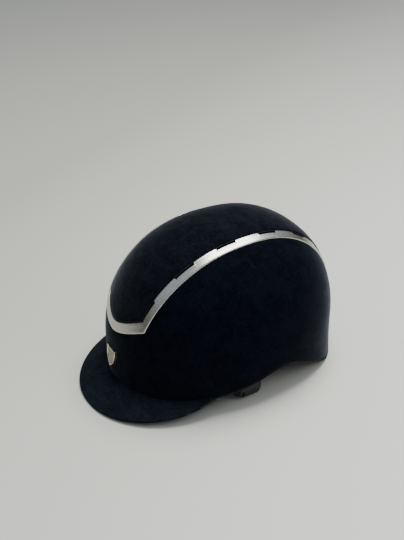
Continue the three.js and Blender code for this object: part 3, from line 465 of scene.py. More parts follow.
class Finish:
    """A material with one Principled shader and short names for the nodes used here."""

    def __init__(self, name, colour, roughness, metallic=0.0, **sockets):
        self.material = bpy.data.materials.new(name)
        self.material.use_nodes = True
        self.tree = self.material.node_tree
        self.shader = self.tree.nodes["Principled BSDF"]
        constants = {"Base Color": (*colour, 1), "Roughness": roughness, "Metallic": metallic}
        constants.update({socket.replace("_", " "): value for socket, value in sockets.items()})
        for socket, value in constants.items():
            self.shader.inputs[socket].default_value = value
        self.coordinates = self.node("ShaderNodeTexCoord").outputs["Object"]

    def node(self, kind, inputs=(), **settings):
        """A node with its settings; each input is a constant or the output that feeds it."""
        made = self.tree.nodes.new(kind)
        for setting, value in settings.items():
            setattr(made, setting, value)
        for socket, value in dict(inputs).items():
            if isinstance(value, bpy.types.NodeSocket):
                self.tree.links.new(value, made.inputs[socket])
            else:
                made.inputs[socket].default_value = value
        return made

    def feed(self, output, socket):
        self.tree.links.new(output, self.shader.inputs[socket])

    def cloth_uv(self, along, across):
        """The piece's own cloth coordinates, stretched along and across the cloth."""
        uv = self.node("ShaderNodeUVMap", uv_map="cloth").outputs["UV"]
        return self.node("ShaderNodeMapping", {"Vector": uv, "Scale": (along, across, 1)}).outputs["Vector"]

    def noise(self, scale, detail=2.0, rough=0.5, distortion=0.0, vector=None):
        inputs = {"Scale": scale, "Detail": detail, "Roughness": rough, "Distortion": distortion}
        inputs["Vector"] = vector or self.coordinates
        return self.node("ShaderNodeTexNoise", inputs).outputs["Fac"]

    def cells(self, scale, feature="F1"):
        inputs = {"Scale": scale, "Vector": self.coordinates}
        return self.node("ShaderNodeTexVoronoi", inputs, feature=feature).outputs["Distance"]

    def waves(self, direction, vector):
        inputs = {"Scale": 1, "Distortion": 0, "Vector": vector}
        settings = {"bands_direction": direction, "wave_profile": "SIN"}
        return self.node("ShaderNodeTexWave", inputs, **settings).outputs["Fac"]

    def maths(self, operation, a, b):
        return self.node("ShaderNodeMath", {0: a, 1: b}, operation=operation).outputs["Value"]

    def blend(self, *parts):
        """The sum of (value, weight) pairs."""
        total = self.maths("MULTIPLY", *parts[0])
        for part in parts[1:]:
            total = self.maths("ADD", total, self.maths("MULTIPLY", *part))
        return total

    def tones(self, factor, low, high, start=0.3, end=0.7):
        """Colours from low to high as the factor runs from start to end."""
        made = self.node("ShaderNodeValToRGB", {"Fac": factor})
        stops = ((start, low), (end, high))
        for element, (position, colour) in zip(made.color_ramp.elements, stops):
            element.position = position
            element.color = (*colour, 1)
        return made.outputs["Color"]

    def between(self, factor, low, high):
        inputs = {"Value": factor, "To Min": low, "To Max": high}
        return self.node("ShaderNodeMapRange", inputs).outputs["Result"]

    def bump(self, height, distance_mm, strength=1.0):
        """Adds relief to the surface; a later call lies on top of the earlier ones."""
        inputs = {"Distance": distance_mm * MM, "Strength": strength, "Height": height}
        normal = self.shader.inputs["Normal"]
        if normal.is_linked:
            inputs["Normal"] = normal.links[0].from_socket
        self.feed(self.node("ShaderNodeBump", inputs).outputs["Normal"], "Normal")


def suede_material(name, low, high, sheen):
    """Near-black navy suede: a stroked, mottled nap that catches light at a grazing angle."""
    m = Finish(name, low, 0.9, Sheen_Roughness=0.3, Sheen_Tint=SUEDE_TINT, Specular_IOR_Level=0.03)
    stroked = m.noise(75, 4, 0.6, 0.8)
    tufts = m.noise(420, 2, 0.5)
    grain = m.noise(1100, 3, 0.7)
    nap = m.blend((stroked, 0.42), (tufts, 0.33), (grain, 0.25))
    m.feed(m.tones(nap, low, high, 0.40, 0.60), "Base Color")
    m.feed(m.between(nap, 0.8, 0.97), "Roughness")
    m.feed(m.between(nap, 0.0, sheen), "Sheen Weight")
    m.bump(m.noise(160, 4, 0.6), 0.25, 0.35)
    m.bump(grain, 0.14, 0.6)
    return m.material


def brushed_material():
    """Metal with fine lines that run along the rail."""
    m = Finish("brushed_trim", TRIM_HIGH, 0.26, 1.0)
    lines = m.noise(1, 4, 0.65, 0, m.cloth_uv(90, 4200))
    wear = m.noise(220, 3, 0.6)
    m.feed(m.tones(m.blend((lines, 0.6), (wear, 0.4)), TRIM_LOW, TRIM_HIGH, 0.35, 0.65), "Base Color")
    m.feed(m.between(lines, 0.24, 0.30), "Roughness")
    m.bump(lines, 0.02, 0.3)
    return m.material


def plastic_material(name, colour, roughness, grain=900, depth=0.04, specular=0.45):
    """Moulded plastic or rubber with a fine grain, a little lighter and darker in patches."""
    m = Finish(name, colour, roughness, Specular_IOR_Level=specular)
    speckle = m.noise(grain, 3, 0.6)
    m.feed(m.tones(m.noise(45, 3), shade(colour, 0.85), shade(colour, 1.25)), "Base Color")
    m.feed(m.between(speckle, roughness - 0.06, roughness + 0.1), "Roughness")
    m.bump(speckle, depth, 0.5)
    return m.material


def foam_material():
    """Expanded beads that meet in shallow creases."""
    m = Finish("foam", FOAM_LOW, 0.75, Specular_IOR_Level=0.3)
    edges = m.cells(290, "DISTANCE_TO_EDGE")
    m.feed(m.tones(m.cells(290), FOAM_HIGH, FOAM_LOW, 0.1, 0.8), "Base Color")
    m.bump(m.maths("MINIMUM", edges, 0.18), 0.9, 0.7)
    m.bump(m.noise(1200, 2), 0.05, 0.5)
    return m.material


def webbing_material():
    """Woven webbing: ribs along and across it."""
    m = Finish("webbing", WEB_LOW, 0.8, Sheen_Weight=0.15, Sheen_Roughness=0.4, Specular_IOR_Level=0.25)
    along = m.waves("X", m.cloth_uv(330, 330))
    across = m.waves("Y", m.cloth_uv(400, 400))
    woven = m.maths("MULTIPLY", along, across)
    m.feed(m.tones(woven, WEB_LOW, WEB_HIGH, 0.1, 0.8), "Base Color")
    m.bump(woven, 0.28, 0.8)
    m.bump(m.noise(1600, 2), 0.05, 0.5)
    return m.material


def knit_material(name, colour, scale=520):
    """Knitted lining, open between its stitches."""
    m = Finish(name, colour, 0.92, Sheen_Weight=0.2, Sheen_Roughness=0.5, Specular_IOR_Level=0.15)
    holes = m.cells(scale)
    m.feed(m.tones(holes, shade(colour, 0.45), shade(colour, 1.5), 0.12, 0.5), "Base Color")
    m.bump(holes, 0.3, 0.8)
    m.bump(m.noise(90, 3), 0.2, 0.3)
    return m.material


def leather_material():
    """Pebbled leather."""
    m = Finish("chin_leather", LEATHER_LOW, 0.5, Specular_IOR_Level=0.4)
    pebbles = m.cells(620, "DISTANCE_TO_EDGE")
    m.feed(m.tones(m.noise(40, 4), LEATHER_LOW, LEATHER_HIGH), "Base Color")
    m.feed(m.between(m.noise(120, 3), 0.42, 0.62), "Roughness")
    m.bump(m.maths("MINIMUM", pebbles, 0.2), 0.25, 0.7)
    return m.material


def metal_material(name, colour, roughness):
    """Plain metal, a little smoother and rougher in places."""
    m = Finish(name, colour, roughness, 1.0)
    m.feed(m.between(m.noise(500, 3, 0.6), roughness - 0.08, roughness + 0.1), "Roughness")
    m.bump(m.noise(900, 2), 0.02, 0.4)
    return m.material


def badge_field_material():
    """Warm, slightly coated metal with a fine mottle."""
    m = Finish("badge_field", FIELD_HIGH, 0.34, 0.55, Coat_Weight=0.3, Coat_Roughness=0.15)
    grain = m.noise(700, 3, 0.6)
    m.feed(m.tones(m.blend((grain, 0.4), (m.noise(150, 2), 0.6)), FIELD_LOW, FIELD_HIGH), "Base Color")
    m.bump(grain, 0.03, 0.4)
    return m.material


def floor_material():
    """A pale floor, darker towards the far left and lighter towards the near right with painted shade and
    painted light, that can be seen through from underneath.
    """
    m = Finish("pale_floor", FLOOR_PAINTED_LIGHT, 0.7, Specular_IOR_Level=0.2)
    place = m.node("ShaderNodeSeparateXYZ", {0: m.coordinates}).outputs
    # Painted shade and painted light: a ramp across the floor stands in for the fall-off of the lamps.
    slope = m.maths("ADD", m.blend((place["X"], 0.84), (place["Y"], 0.53)), 0.5)
    m.feed(m.tones(slope, FLOOR_PAINTED_SHADE, FLOOR_PAINTED_LIGHT, 0, 1), "Base Color")
    below = m.node("ShaderNodeNewGeometry").outputs["Backfacing"]
    clear = m.node("ShaderNodeBsdfTransparent").outputs[0]
    mix = m.node("ShaderNodeMixShader", {0: below, 1: m.shader.outputs[0], 2: clear})
    m.tree.links.new(mix.outputs[0], m.tree.nodes["Material Output"].inputs["Surface"])
    return m.material


SUEDE = suede_material("suede", (0.0003, 0.0010, 0.0032), (0.0032, 0.0044, 0.0096), 0.46)
# Painted light: the panel's and the peak's suede are lighter copies of the side's, for tops that face the
# light from above.
PANEL_SUEDE_PAINTED_LIGHT = suede_material("suede_panel", (0.0008, 0.0018, 0.0036), (0.0060, 0.0074, 0.0116), 0.66)
PEAK_SUEDE_PAINTED_LIGHT = suede_material("suede_peak", (0.0046, 0.0066, 0.0098), (0.0120, 0.0154, 0.0212), 0.26)
BRUSHED = brushed_material()
SHELL_PLASTIC = plastic_material("shell_plastic", (0.008, 0.0085, 0.0095), 0.5)
BLACK_PLASTIC = plastic_material("black_plastic", (0.008, 0.0082, 0.009), 0.42)
HARNESS_PLASTIC = plastic_material("harness_plastic", (0.009, 0.0115, 0.0125), 0.5)
RUBBER = plastic_material("rubber", (0.006, 0.0065, 0.008), 0.78, 1300, 0.06, 0.2)
BLACK_MESH = plastic_material("black_mesh", (0.004, 0.004, 0.0045), 0.7)
FOAM = foam_material()
WEBBING = webbing_material()
PAD_CLOTH = knit_material("pad_cloth", (0.013, 0.0138, 0.016))
LINING_CLOTH = knit_material("lining_cloth", (0.010, 0.0105, 0.012), 900)
CHIN_LEATHER = leather_material()
STEEL = metal_material("screw_steel", (0.55, 0.56, 0.57), 0.32)
BADGE_METAL = metal_material("badge_metal", (0.62, 0.58, 0.46), 0.26)
BADGE_FIELD = badge_field_material()


# ---- camera, floor and light
# The camera's angles round the dome, its distance in metres, and its lens.
AZIMUTH = math.radians(62.17)
ELEVATION = math.radians(33.34)
ROLL = math.radians(-1.75)
DISTANCE = 1.0446
AIM_UP = math.radians(2.8052)
AIM_LEFT = math.radians(0.9930)
LENS = 60
SENSOR = 36
HORIZON = (0.115, 0.106, 0.078)
MID_SKY = (0.42, 0.395, 0.31)
ZENITH = (1.06, 1.18, 1.33)
SKY_STRENGTH = 0.45
FLOOR_HALF = 6000
FLOOR_GAP = 0.1
LIT_POINT = Vector((0, 0.02, 0.06))
# Each lamp's name, place and size in metres, power in watts and colour.
LAMPS = (
    ("key", (-0.10, 0.42, 1.7), 1.1, 37, (1.0, 0.985, 0.95)),
    ("side", (0.85, 0.50, 0.95), 0.6, 2.5, (1.0, 0.99, 0.965)),
)


def make_camera():
    """Looks at the dome from the wearer's front left, aimed a little above and left of its centre."""
    facing = Matrix.Rotation(AZIMUTH, 3, "Z") @ Matrix.Rotation(math.pi / 2 - ELEVATION, 3, "X")
    facing = facing @ Matrix.Rotation(ROLL, 3, "Z")
    seen = Vector((math.tan(AIM_LEFT), -math.tan(AIM_UP), -1)).normalized()
    turn = seen.rotation_difference(Vector((0, 0, -1)))
    data = bpy.data.cameras.new("camera")
    data.lens = LENS
    data.sensor_width = SENSOR
    camera = bpy.data.objects.new("camera", data)
    place = Vector((0, CENTRE_Y, EQUATOR)) * MM + facing.col[2] * DISTANCE
    camera.matrix_world = Matrix.Translation(place) @ (facing @ turn.to_matrix()).to_4x4()
    bpy.context.scene.collection.objects.link(camera)
    bpy.context.scene.camera = camera


def make_floor():
    """A wide pale floor just under the helmet, kept out of the exported model."""
    turns = ((-1, -1), (1, -1), (1, 1), (-1, 1))
    corners = [(x * FLOOR_HALF, y * FLOOR_HALF, -FLOOR_GAP) for x, y in turns]
    floor = new_object("floor", corners, [(0, 1, 2, 3)])
    floor.data.materials.append(floor_material())


def soft_light(name, place, size, power, colour):
    """A round lamp, in metres and watts, that points at the helmet."""
    data = bpy.data.lights.new(name, "AREA")
    data.shape = "DISK"
    data.size = size
    data.energy = power
    data.color = colour
    lamp = bpy.data.objects.new(name, data)
    lamp.location = place
    lamp.rotation_euler = (LIT_POINT - Vector(place)).to_track_quat("-Z", "Y").to_euler()
    bpy.context.scene.collection.objects.link(lamp)


def make_lights():
    """A bright ceiling that darkens and warms towards the horizon, and two soft lamps."""
    world = bpy.data.worlds.new("studio")
    world.use_nodes = True
    tree = world.node_tree
    direction = tree.nodes.new("ShaderNodeTexCoord").outputs["Generated"]
    split = tree.nodes.new("ShaderNodeSeparateXYZ")
    ramp = tree.nodes.new("ShaderNodeValToRGB")
    tones = ((0.0, HORIZON), (0.2, MID_SKY), (0.6, ZENITH))
    ramp.color_ramp.elements.new(tones[1][0])
    for element, (position, colour) in zip(ramp.color_ramp.elements, tones):
        element.position = position
        element.color = (*colour, 1)
    tree.links.new(direction, split.inputs[0])
    tree.links.new(split.outputs["Z"], ramp.inputs["Fac"])
    sky = tree.nodes["Background"]
    tree.links.new(ramp.outputs["Color"], sky.inputs["Color"])
    sky.inputs["Strength"].default_value = SKY_STRENGTH
    bpy.context.scene.world = world
    for lamp in LAMPS:
        soft_light(*lamp)


make_camera()
make_floor()
make_lights()


# ---- covers, trim and binding
COVER_STEPS = 56
COVER_TUCK = 1.2
HEM_RISE = 1.4
COVER_THICK = 1.15
COVER_HEM = ((0.7, 0.12), (0.2, 0.5), (0.0, 1.0), (0.25, 1.7))
PANEL_ROLL = 2.6
TRIM_EDGE = ((0, TRIM[1]), (0, -0.45), (0.12, -0.78), (0.4, -0.96), (0.9, -1.0))
SILL = ((0.1, 1.2), (0.1, 0.0), (0.2, -0.15), (1.2, -0.15), (1.35, 0.0), (1.35, 1.2))
BINDING = (
    (2.3, 0.15), (1.5, -0.05), (0.8, 0.1), (0.3, 0.5), (0.0, 1.2), (0.0, 4.5), (0.0, 7.6),
    (0.35, 8.5), (1.0, 9.0), (1.9, 9.0), (2.4, 8.4), (2.45, 4.5), (2.45, 0.8),
)


def side_cover():
    """Skin over the whole dome outside the frame, rolled in at the rim, as one closed ring."""
    angle = np.linspace(0, 360, 360, endpoint=False)
    top = frame_foot(angle) + COVER_TUCK
    foot = rim_height(angle) + LAYER_LIFT
    shares = 1 - (1 - np.linspace(0, 1, COVER_STEPS)) ** 1.15

    def rows(steps, inset):
        return [dome_point(angle, top + (foot + HEM_RISE - top) * share, inset) for share in steps]

    hem = [dome_point(angle, foot + up, inset) for up, inset in COVER_HEM]
    sections = np.stack(rows(shares, 0) + hem + rows(shares[::-5], COVER_THICK), 1)
    dress(ring_object("side_cover_suede", sections), SUEDE, "side_cover")


def panel_cover():
    """The padded centre panel, its suede rolled down into the gap beside the rails."""
    low, high = FRAME_FRONT + BAR_PITCH + 0.2, FRAME_REAR - BAR_PITCH - 0.2
    t = np.linspace(0, 1, 141)[:, None]
    u = np.linspace(-1, 1, 61)[None, :]
    closer = 0.5 * np.cos(math.pi * t) * (1 - 0.25 * np.sin(math.pi * t) ** 2)
    pitch = low + (high - low) * (0.5 - closer)
    u = np.sin(u * math.pi / 2) * 0.35 + u * 0.65
    half = frame_half(pitch) - RAIL_WIDE - 0.3
    x = half * u
    edge_across = half * (1 - np.abs(u))
    edge_along = np.minimum(pitch - low, high - pitch) * 2.2
    nearest = np.clip(np.minimum(edge_across, edge_along) / PANEL_ROLL, 0, 1)
    crown = np.sqrt(1 - (1 - nearest) ** 2)
    upper = pitch_point(bowed(pitch, u), x, 0.9 - 2.4 * crown)
    lower = pitch_point(bowed(pitch, u), x * 0.995, COVER_THICK)
    made = patch_object("panel_cover_suede", upper, lower)
    # The panel's suede is made lighter than the side's: painted light.
    dress(made, PANEL_SUEDE_PAINTED_LIGHT, "panel_cover")


def trim_section(width):
    """Across the trim: distance from the outer edge, and inset, over a face that is slightly hollow."""
    hollow = [(share * width, -0.98 + 0.16 * math.sin(math.pi * share)) for share in (0.25, 0.5, 0.75)]
    return [*TRIM_EDGE, *hollow, *((width - w, inset) for w, inset in reversed(TRIM_EDGE))]


def trim_frame():
    """The brushed frame, a section swept between its outer and inner edge."""
    outer, inner = frame_outline()
    middle = pitch_point(outer[:, 0], outer[:, 1], 0)
    widths = np.linalg.norm(pitch_point(inner[:, 0], inner[:, 1], 0) - middle, axis=1)
    section = np.array([trim_section(width) for width in widths])
    across, inset = section[..., 0], section[..., 1]
    share = (across / widths[:, None])[..., None]
    pitch, x = np.moveaxis(outer[:, None] + (inner - outer)[:, None] * share, -1, 0)
    along = np.broadcast_to(run_along(middle)[:, None], across.shape)
    sections = pitch_point(pitch, x, inset)
    made = ring_object("trim_frame_brushed", sections, np.stack([along, across], -1))
    merge_near(made.data, JOIN_DISTANCE)
    dress(made, BRUSHED, "trim_frame")


def vent_ledge(name, side, low, high):
    """A thin sill that runs inside the narrow part of the rail, below its face."""
    pitch = np.linspace(low + 0.5, high - 0.5, 40)
    edge = frame_half(pitch) - RAIL_NARROW
    sections = np.stack([pitch_point(pitch, side * (edge - depth), inset) for depth, inset in SILL], 1)
    along, across = np.meshgrid(np.linspace(0, 20, len(pitch)), np.arange(len(SILL)), indexing="ij")
    made = loft_object(name, sections, np.stack([along, across], -1))
    dress(made, BRUSHED)


def rim_binding():
    """A soft black bead under the edge of the shell and the liner's margin."""
    angle = np.linspace(0, 360, 360, endpoint=False)
    foot = rim_height(angle)
    sections = np.stack([dome_point(angle, foot + up, inset) for up, inset in BINDING], 1)
    dress(ring_object("rim_binding_rubber", sections), RUBBER, "rim_binding")


side_cover()
panel_cover()
trim_frame()
for name, side in SIDES:
    for index, (low, high) in enumerate(VENTS):
        vent_ledge(f"vent_ledge_{name}_{index + 1}", side, low, high)
rim_binding()


# ---- peak
def peak_edge():
    """Round the peak's free edge, from its upper face to its lower face."""
    turn = np.linspace(0, math.pi, 11)
    return [(0.985, PEAK_THICK / 2 * (1 - math.cos(t)), 0.3 + 0.7 * math.sin(t) ** 0.7) for t in turn]


def peak_cover():
    """Suede over the peak, folded round its edge and glued a little way under it."""
    angle = np.linspace(-PEAK_HALF_ANGLE, PEAK_HALF_ANGLE, 181)
    path = [(share, 0.0, 0.15 * share**8) for share in np.linspace(-0.02, 0.972, 22)]
    path += peak_edge()
    path += [(0.93, PEAK_THICK - 0.02, 0), (0.86, PEAK_THICK - 0.1, 0), (0.855, PEAK_THICK - 0.8, 0)]
    path += [(share, 0.9, 0) for share in np.linspace(0.93, -0.02, 8)]
    sections = np.stack([peak_point(angle, out, depth, 0.4, beyond) for out, depth, beyond in path], 1)
    # The peak's suede is made lighter than the side's: painted light.
    dress(loft_object("peak_cover_suede", sections), PEAK_SUEDE_PAINTED_LIGHT, "peak_cover")


def peak_lining():
    """Cloth under the peak, up to the fold of its suede."""
    angle = np.linspace(-PEAK_HALF_ANGLE + 1, PEAK_HALF_ANGLE - 1, 121)
    path = [(share, PEAK_THICK - 0.7) for share in np.linspace(0.0, 0.85, 12)]
    path += [(0.857, PEAK_THICK - 0.45), (0.85, PEAK_THICK - 0.2)]
    path += [(share, PEAK_THICK - 0.05) for share in np.linspace(0.83, 0.0, 12)]
    sections = np.stack([peak_point(angle, out, depth, -0.4) for out, depth in path], 1)
    dress(loft_object("peak_lining_cloth", sections), LINING_CLOTH, "peak_lining")


peak_cover()
peak_lining()


# ---- badge
BADGE_BASE = ((-1.1, -3.6), (-1.1, 0.1), (-0.9, 0.45), (-0.5, 0.6), (0.8, 0.65))
BADGE_RIM = (
    (0.0, 0.6), (0.0, 2.0), (0.2, 2.35), (0.6, 2.5), (1.1, 2.45), (1.5, 2.2), (1.7, 1.7), (1.8, 0.9),
)


def shield_half(shrink):
    """The right half of a plain shield from its foot to the middle of its hollow top."""
    half = BADGE_WIDTH / 2 - shrink
    waist = half - 0.7
    top, foot = BADGE_HEIGHT / 2 - shrink, -BADGE_HEIGHT / 2 + 1.5 * shrink
    points = []
    for t in np.linspace(0, 1, 17):
        a, b, c, d = (1 - t) ** 3, 3 * t * (1 - t) ** 2, 3 * t * t * (1 - t), t**3
        points.append(((b * 0.50 + c * 0.97 + d) * waist, (a + b * 0.66 + c * 0.16) * foot + d * top * 0.3))
    for t in np.linspace(0.12, 1, 10):
        points.append((waist + 0.7 * t**2, top * (0.3 + 0.7 * t)))
    for t in np.linspace(0.12, 1, 8):
        a, b, c = (1 - t) ** 2, 2 * t * (1 - t), t * t
        points.append((a * half + b * half * 0.5, a * top + b * (top - 2.2) + c * (top - 1)))
    return points


def shield(shrink):
    """The whole outline of the shield, moved inwards by a distance."""
    right = shield_half(shrink)
    left = [(-x, z) for x, z in reversed(right[1:-1])]
    return np.array(right + left)


def on_badge(points, off):
    """Places outline points at a distance off the shell's front, which leans back with height."""
    front = dome_point(0, BADGE_MIDDLE, 0)
    across = np.array([1.0, 0, 0])
    up = np.array([0, math.sin(BADGE_LEAN), math.cos(BADGE_LEAN)])
    out = np.array([0, -math.cos(BADGE_LEAN), math.sin(BADGE_LEAN)])
    return front + points[:, :1] * across + points[:, 1:] * up + (off + BADGE_LIFT) * out


def stacked_shield(name, layers, material, *replaced):
    """A plate from (shrink, off) loops, closed by a flat face at each end."""
    sections = np.stack([on_badge(shield(shrink), off) for shrink, off in layers])
    dress(loft_object(name, sections), material, *replaced)


def badge():
    """A metal rim round a plain, slightly domed field, on a plastic back."""
    stacked_shield("badge_backing", BADGE_BASE, SHELL_PLASTIC)
    sections = np.stack([on_badge(shield(shrink), off) for shrink, off in BADGE_RIM], 1)
    dress(ring_object("badge_bezel_metal", sections), BADGE_METAL, "badge_bezel")
    field = [(1.9, 1.1), (1.9, 1.7)]
    field += [(1.9 + 9 * t, 1.7 + 0.75 * math.sin(t * math.pi / 2)) for t in np.linspace(0.06, 0.9, 10)]
    stacked_shield("badge_inlay_field", field, BADGE_FIELD, "badge_inlay")


badge()


# ---- the CAD nodes that stay
# Each with its material, the width of its rounded edges and their segments.
KEPT = {
    "outer_shell": (SHELL_PLASTIC, 0.2, 1),
    "panel_moulding": (SHELL_PLASTIC, 0.1, 1),
    "peak_board": (SHELL_PLASTIC, 0.2, 2),
    "vent_grille_left": (BLACK_MESH, 0.1, 1),
    "vent_grille_right": (BLACK_MESH, 0.1, 1),
    "buckle_plug": (BLACK_PLASTIC, 0.7, 3),
    "plug_prong_front": (BLACK_PLASTIC, 0.7, 3),
    "plug_prong_rear": (BLACK_PLASTIC, 0.7, 3),
    "buckle_socket": (BLACK_PLASTIC, 0.7, 3),
    "strap_keeper": (RUBBER, 0.5, 3),
    "dial_housing": (BLACK_PLASTIC, 0.5, 3),
    "dial_cover": (BLACK_PLASTIC, 0.5, 3),
    "dial_pinion": (HARNESS_PLASTIC, 0.12, 2),
    "dial_screw_left": (STEEL, 0.15, 2),
    "dial_screw_right": (STEEL, 0.15, 2),
    "cradle_arm_left": (BLACK_PLASTIC, 0.45, 2),
    "cradle_arm_right": (BLACK_PLASTIC, 0.45, 2),
    "cradle_hanger": (BLACK_PLASTIC, 0.4, 2),
}
for node, finish in KEPT.items():
    keep(node, *finish)


# ---- liner
CUT_CLEANUP = 0.03
# How far inside the frame's edge a cut starts and ends, and how deep it goes.
VENT_CUT = (10, 4, 40)
CHANNEL_CUT = (11.5, 3, 7)
STUD_WELL = ((0, -20), (6.8, -20), (6.8, 0), (4, 0), (4, 14), (0, 14))
DIAL_RECESS = ((-23, CENTRE_Y + 90, -5), (23, CENTRE_Y + 125, 46))
HANGER_RECESS = ((-8.6, CENTRE_Y + 89, 44), (8.6, CENTRE_Y + 112.5, 66))


def carve(obj, cutters):
    """Cuts closed bodies out of a piece, and removes them."""
    for cutter in cutters:
        modify(obj, "BOOLEAN", "Cut", operation="DIFFERENCE", solver="EXACT", object=cutter)
    bpy.context.view_layer.update()
    shape = obj.evaluated_get(bpy.context.evaluated_depsgraph_get())
    mesh = bpy.data.meshes.new_from_object(shape)
    obj.modifiers.clear()
    obj.data = mesh
    merge_near(mesh, CUT_CLEANUP)
    for cutter in cutters:
        bpy.data.objects.remove(cutter)


def block(low, high):
    """A box between two corners."""
    corners = [[(low, high)[(i >> axis) & 1][axis] for axis in range(3)] for i in range(8)]
    faces = [(0, 1, 3, 2), (4, 5, 7, 6), (0, 1, 5, 4), (2, 3, 7, 6), (0, 2, 6, 4), (1, 3, 7, 5)]
    return new_object("block", corners, faces)


def dome_shell(outer, inner):
    """The liner's body between two insets, from above the rim to the crown."""
    columns = 180
    angle = np.linspace(0, 360, columns, endpoint=False)
    foot = rim_height(angle) + LAYER_LIFT
    rises = np.sin(np.radians(np.linspace(0, 88, 22)[1:]))
    loops, poles = [], []
    for inset in (outer, inner):
        top = CROWN_RISE - inset
        rows = [foot + (EQUATOR - foot) * s for s in np.linspace(0, 1, 10)]
        rows += [np.full(columns, EQUATOR + top * r) for r in rises]
        loops.append([dome_point(angle, height, inset) for height in rows])
        poles.append(np.array([[0, CENTRE_Y + lean(top), EQUATOR + top]]))
    path = loops[0][::-1] + loops[1]
    faces = grid_faces(len(path), columns, 0, False, True)
    last = (len(path) - 1) * columns
    pole = len(path) * columns
    for i in range(columns):
        j = (i + 1) % columns
        faces += [(pole, i, j), (pole + 1, last + j, last + i)]
    return new_object("foam_liner_beads", np.concatenate(path + poles), faces)


def pitch_block(side, low, high, near, far, inner):
    """A cutting body over a strip of the dome, near to far inside the frame's edge, inner deep."""
    pitch = np.linspace(low, high, 9)[:, None]
    x = side * (frame_half(pitch) - np.array([near, far])[None, :])
    return patch_object("vent", pitch_point(pitch, x, -4), pitch_point(pitch, x, inner))


def anchor_place(angle):
    """Where a strap anchor stands in the liner's underside."""
    foot = rim_height(np.array(float(angle))) + 2
    x, y, _ = dome_point(angle, foot, ANCHOR_INSET)
    return np.array([x, y, float(foot)])


def foam_liner():
    """The foam, with recesses for the dial and its hanger, the vents and the strap anchors."""
    liner = dome_shell(*LINER)
    cutters = [block(*DIAL_RECESS), block(*HANGER_RECESS)]
    for _, side in SIDES:
        for low, high in VENTS:
            cutters.append(pitch_block(side, low + 1, high - 1, *VENT_CUT))
        cutters.append(pitch_block(side, VENTS[0][0] - 0.5, VENTS[-1][1] + 0.5, *CHANNEL_CUT))
        for angle in (FRONT_ANCHOR, REAR_ANCHOR):
            cutters.append(lathe_object("well", STUD_WELL, UPWARD, anchor_place(side * angle), 40))
    carve(liner, cutters)
    round_edges(liner, 0.9, 2, 40)
    dress(liner, FOAM, "foam_liner")


# ---- pads
PAD_THICK = PADS[1] - PADS[0]
PAD_START = 0.82
PAD_SEWN = 0.9
PAD_BACK = 0.1
SWELL_CAP = 2.2
BROW_HALF = 50
EAR_ARC = (64, 106)
CLOTH = {
    "quality": 6,
    "mass": 0.15,
    "tension_stiffness": 12,
    "compression_stiffness": 12,
    "shear_stiffness": 5,
    "bending_stiffness": 0.3,
    "shrink_min": -0.06,
    "use_pressure": True,
    "uniform_pressure_force": 4.0,
    "vertex_group_mass": "seam",
}
CLOTH_STEPS = 20


def puff(obj, pinned, cap):
    """Blows a pad up as sewn cloth: pinned vertices stay, the others move by at most cap millimetres."""
    mesh = obj.data
    rest = np.zeros(len(mesh.vertices) * 3)
    moved = np.zeros(rest.size)
    mesh.vertices.foreach_get("co", rest)
    group = obj.vertex_groups.new(name="seam")
    group.add([int(i) for i in pinned], 1.0, "REPLACE")
    modifier = obj.modifiers.new("Cloth", "CLOTH")
    for setting, value in CLOTH.items():
        setattr(modifier.settings, setting, value)
    modifier.settings.effector_weights.gravity = 0
    modifier.collision_settings.use_collision = False
    scene = bpy.context.scene
    for step in range(1, CLOTH_STEPS + 1):
        scene.frame_set(step)
    shape = obj.evaluated_get(bpy.context.evaluated_depsgraph_get())
    shape.data.vertices.foreach_get("co", moved)
    shift = (moved - rest).reshape(-1, 3)
    length = np.linalg.norm(shift, axis=1, keepdims=True)
    shift *= np.minimum(1, cap * MM / np.maximum(length, 1e-9))
    obj.modifiers.remove(modifier)
    obj.vertex_groups.remove(group)
    mesh.vertices.foreach_set("co", rest + shift.ravel())
    mesh.update()
    scene.frame_set(1)


def finish_pad(obj, material, node, pinned, cap, body="helmet"):
    """Blows a pad up, smooths it, and gives it its material and body in place of its CAD node."""
    puff(obj, pinned, cap)
    modify(obj, "SUBSURF", "Smooth cloth", levels=1, render_levels=1)
    dress(obj, material, node, body=body)


def pad_lens(u, v, seams):
    """Height of a pad's face over its back, 0 at its edge and lower along sewn channels."""
    edge = np.minimum(1, (1 - np.abs(2 * u - 1) ** 5) * (1 - np.abs(2 * v - 1) ** 5) * 1.15)
    for seam in seams:
        edge = edge * (1 - 0.55 * np.exp(-(((u - seam) / 0.012) ** 2)))
    return np.sqrt(np.maximum(edge, 0))


def patch_pad(node, point, columns, rows, seams):
    """A pad over a patch: point(u, v, depth) with depth from 0 at its back to its thickness."""
    u, v = np.meshgrid(np.linspace(0, 1, columns + 1), np.linspace(0, 1, rows + 1), indexing="ij")
    face = point(u, v, PAD_SEWN + (PAD_THICK * PAD_START - PAD_SEWN) * pad_lens(u, v, seams))
    rear = point(u, v, PAD_BACK + 0 * u)
    sewn = (u == 0) | (u == 1) | (v == 0) | (v == 1)
    for seam in seams:
        sewn[np.argmin(np.abs(u[:, 0] - seam))] = True
    pinned = np.concatenate([np.nonzero(sewn.ravel())[0], u.size + np.arange(u.size)])
    obj = patch_object(f"{node}_cloth", face, rear)
    finish_pad(obj, PAD_CLOTH, node, pinned, SWELL_CAP)


def wall_pad(node, start, end, foot, head, seams, columns):
    """A pad on the liner's wall between two plan angles, foot to head above the rim."""

    def point(u, v, depth):
        angle = start + (end - start) * u
        ease = 0.75 + 0.25 * (1 - (2 * u - 1) ** 6)
        return dome_point(angle, rim_height(angle) + foot + (head - foot) * v * ease, PADS[0] + depth)

    patch_pad(node, point, columns, 14, seams)


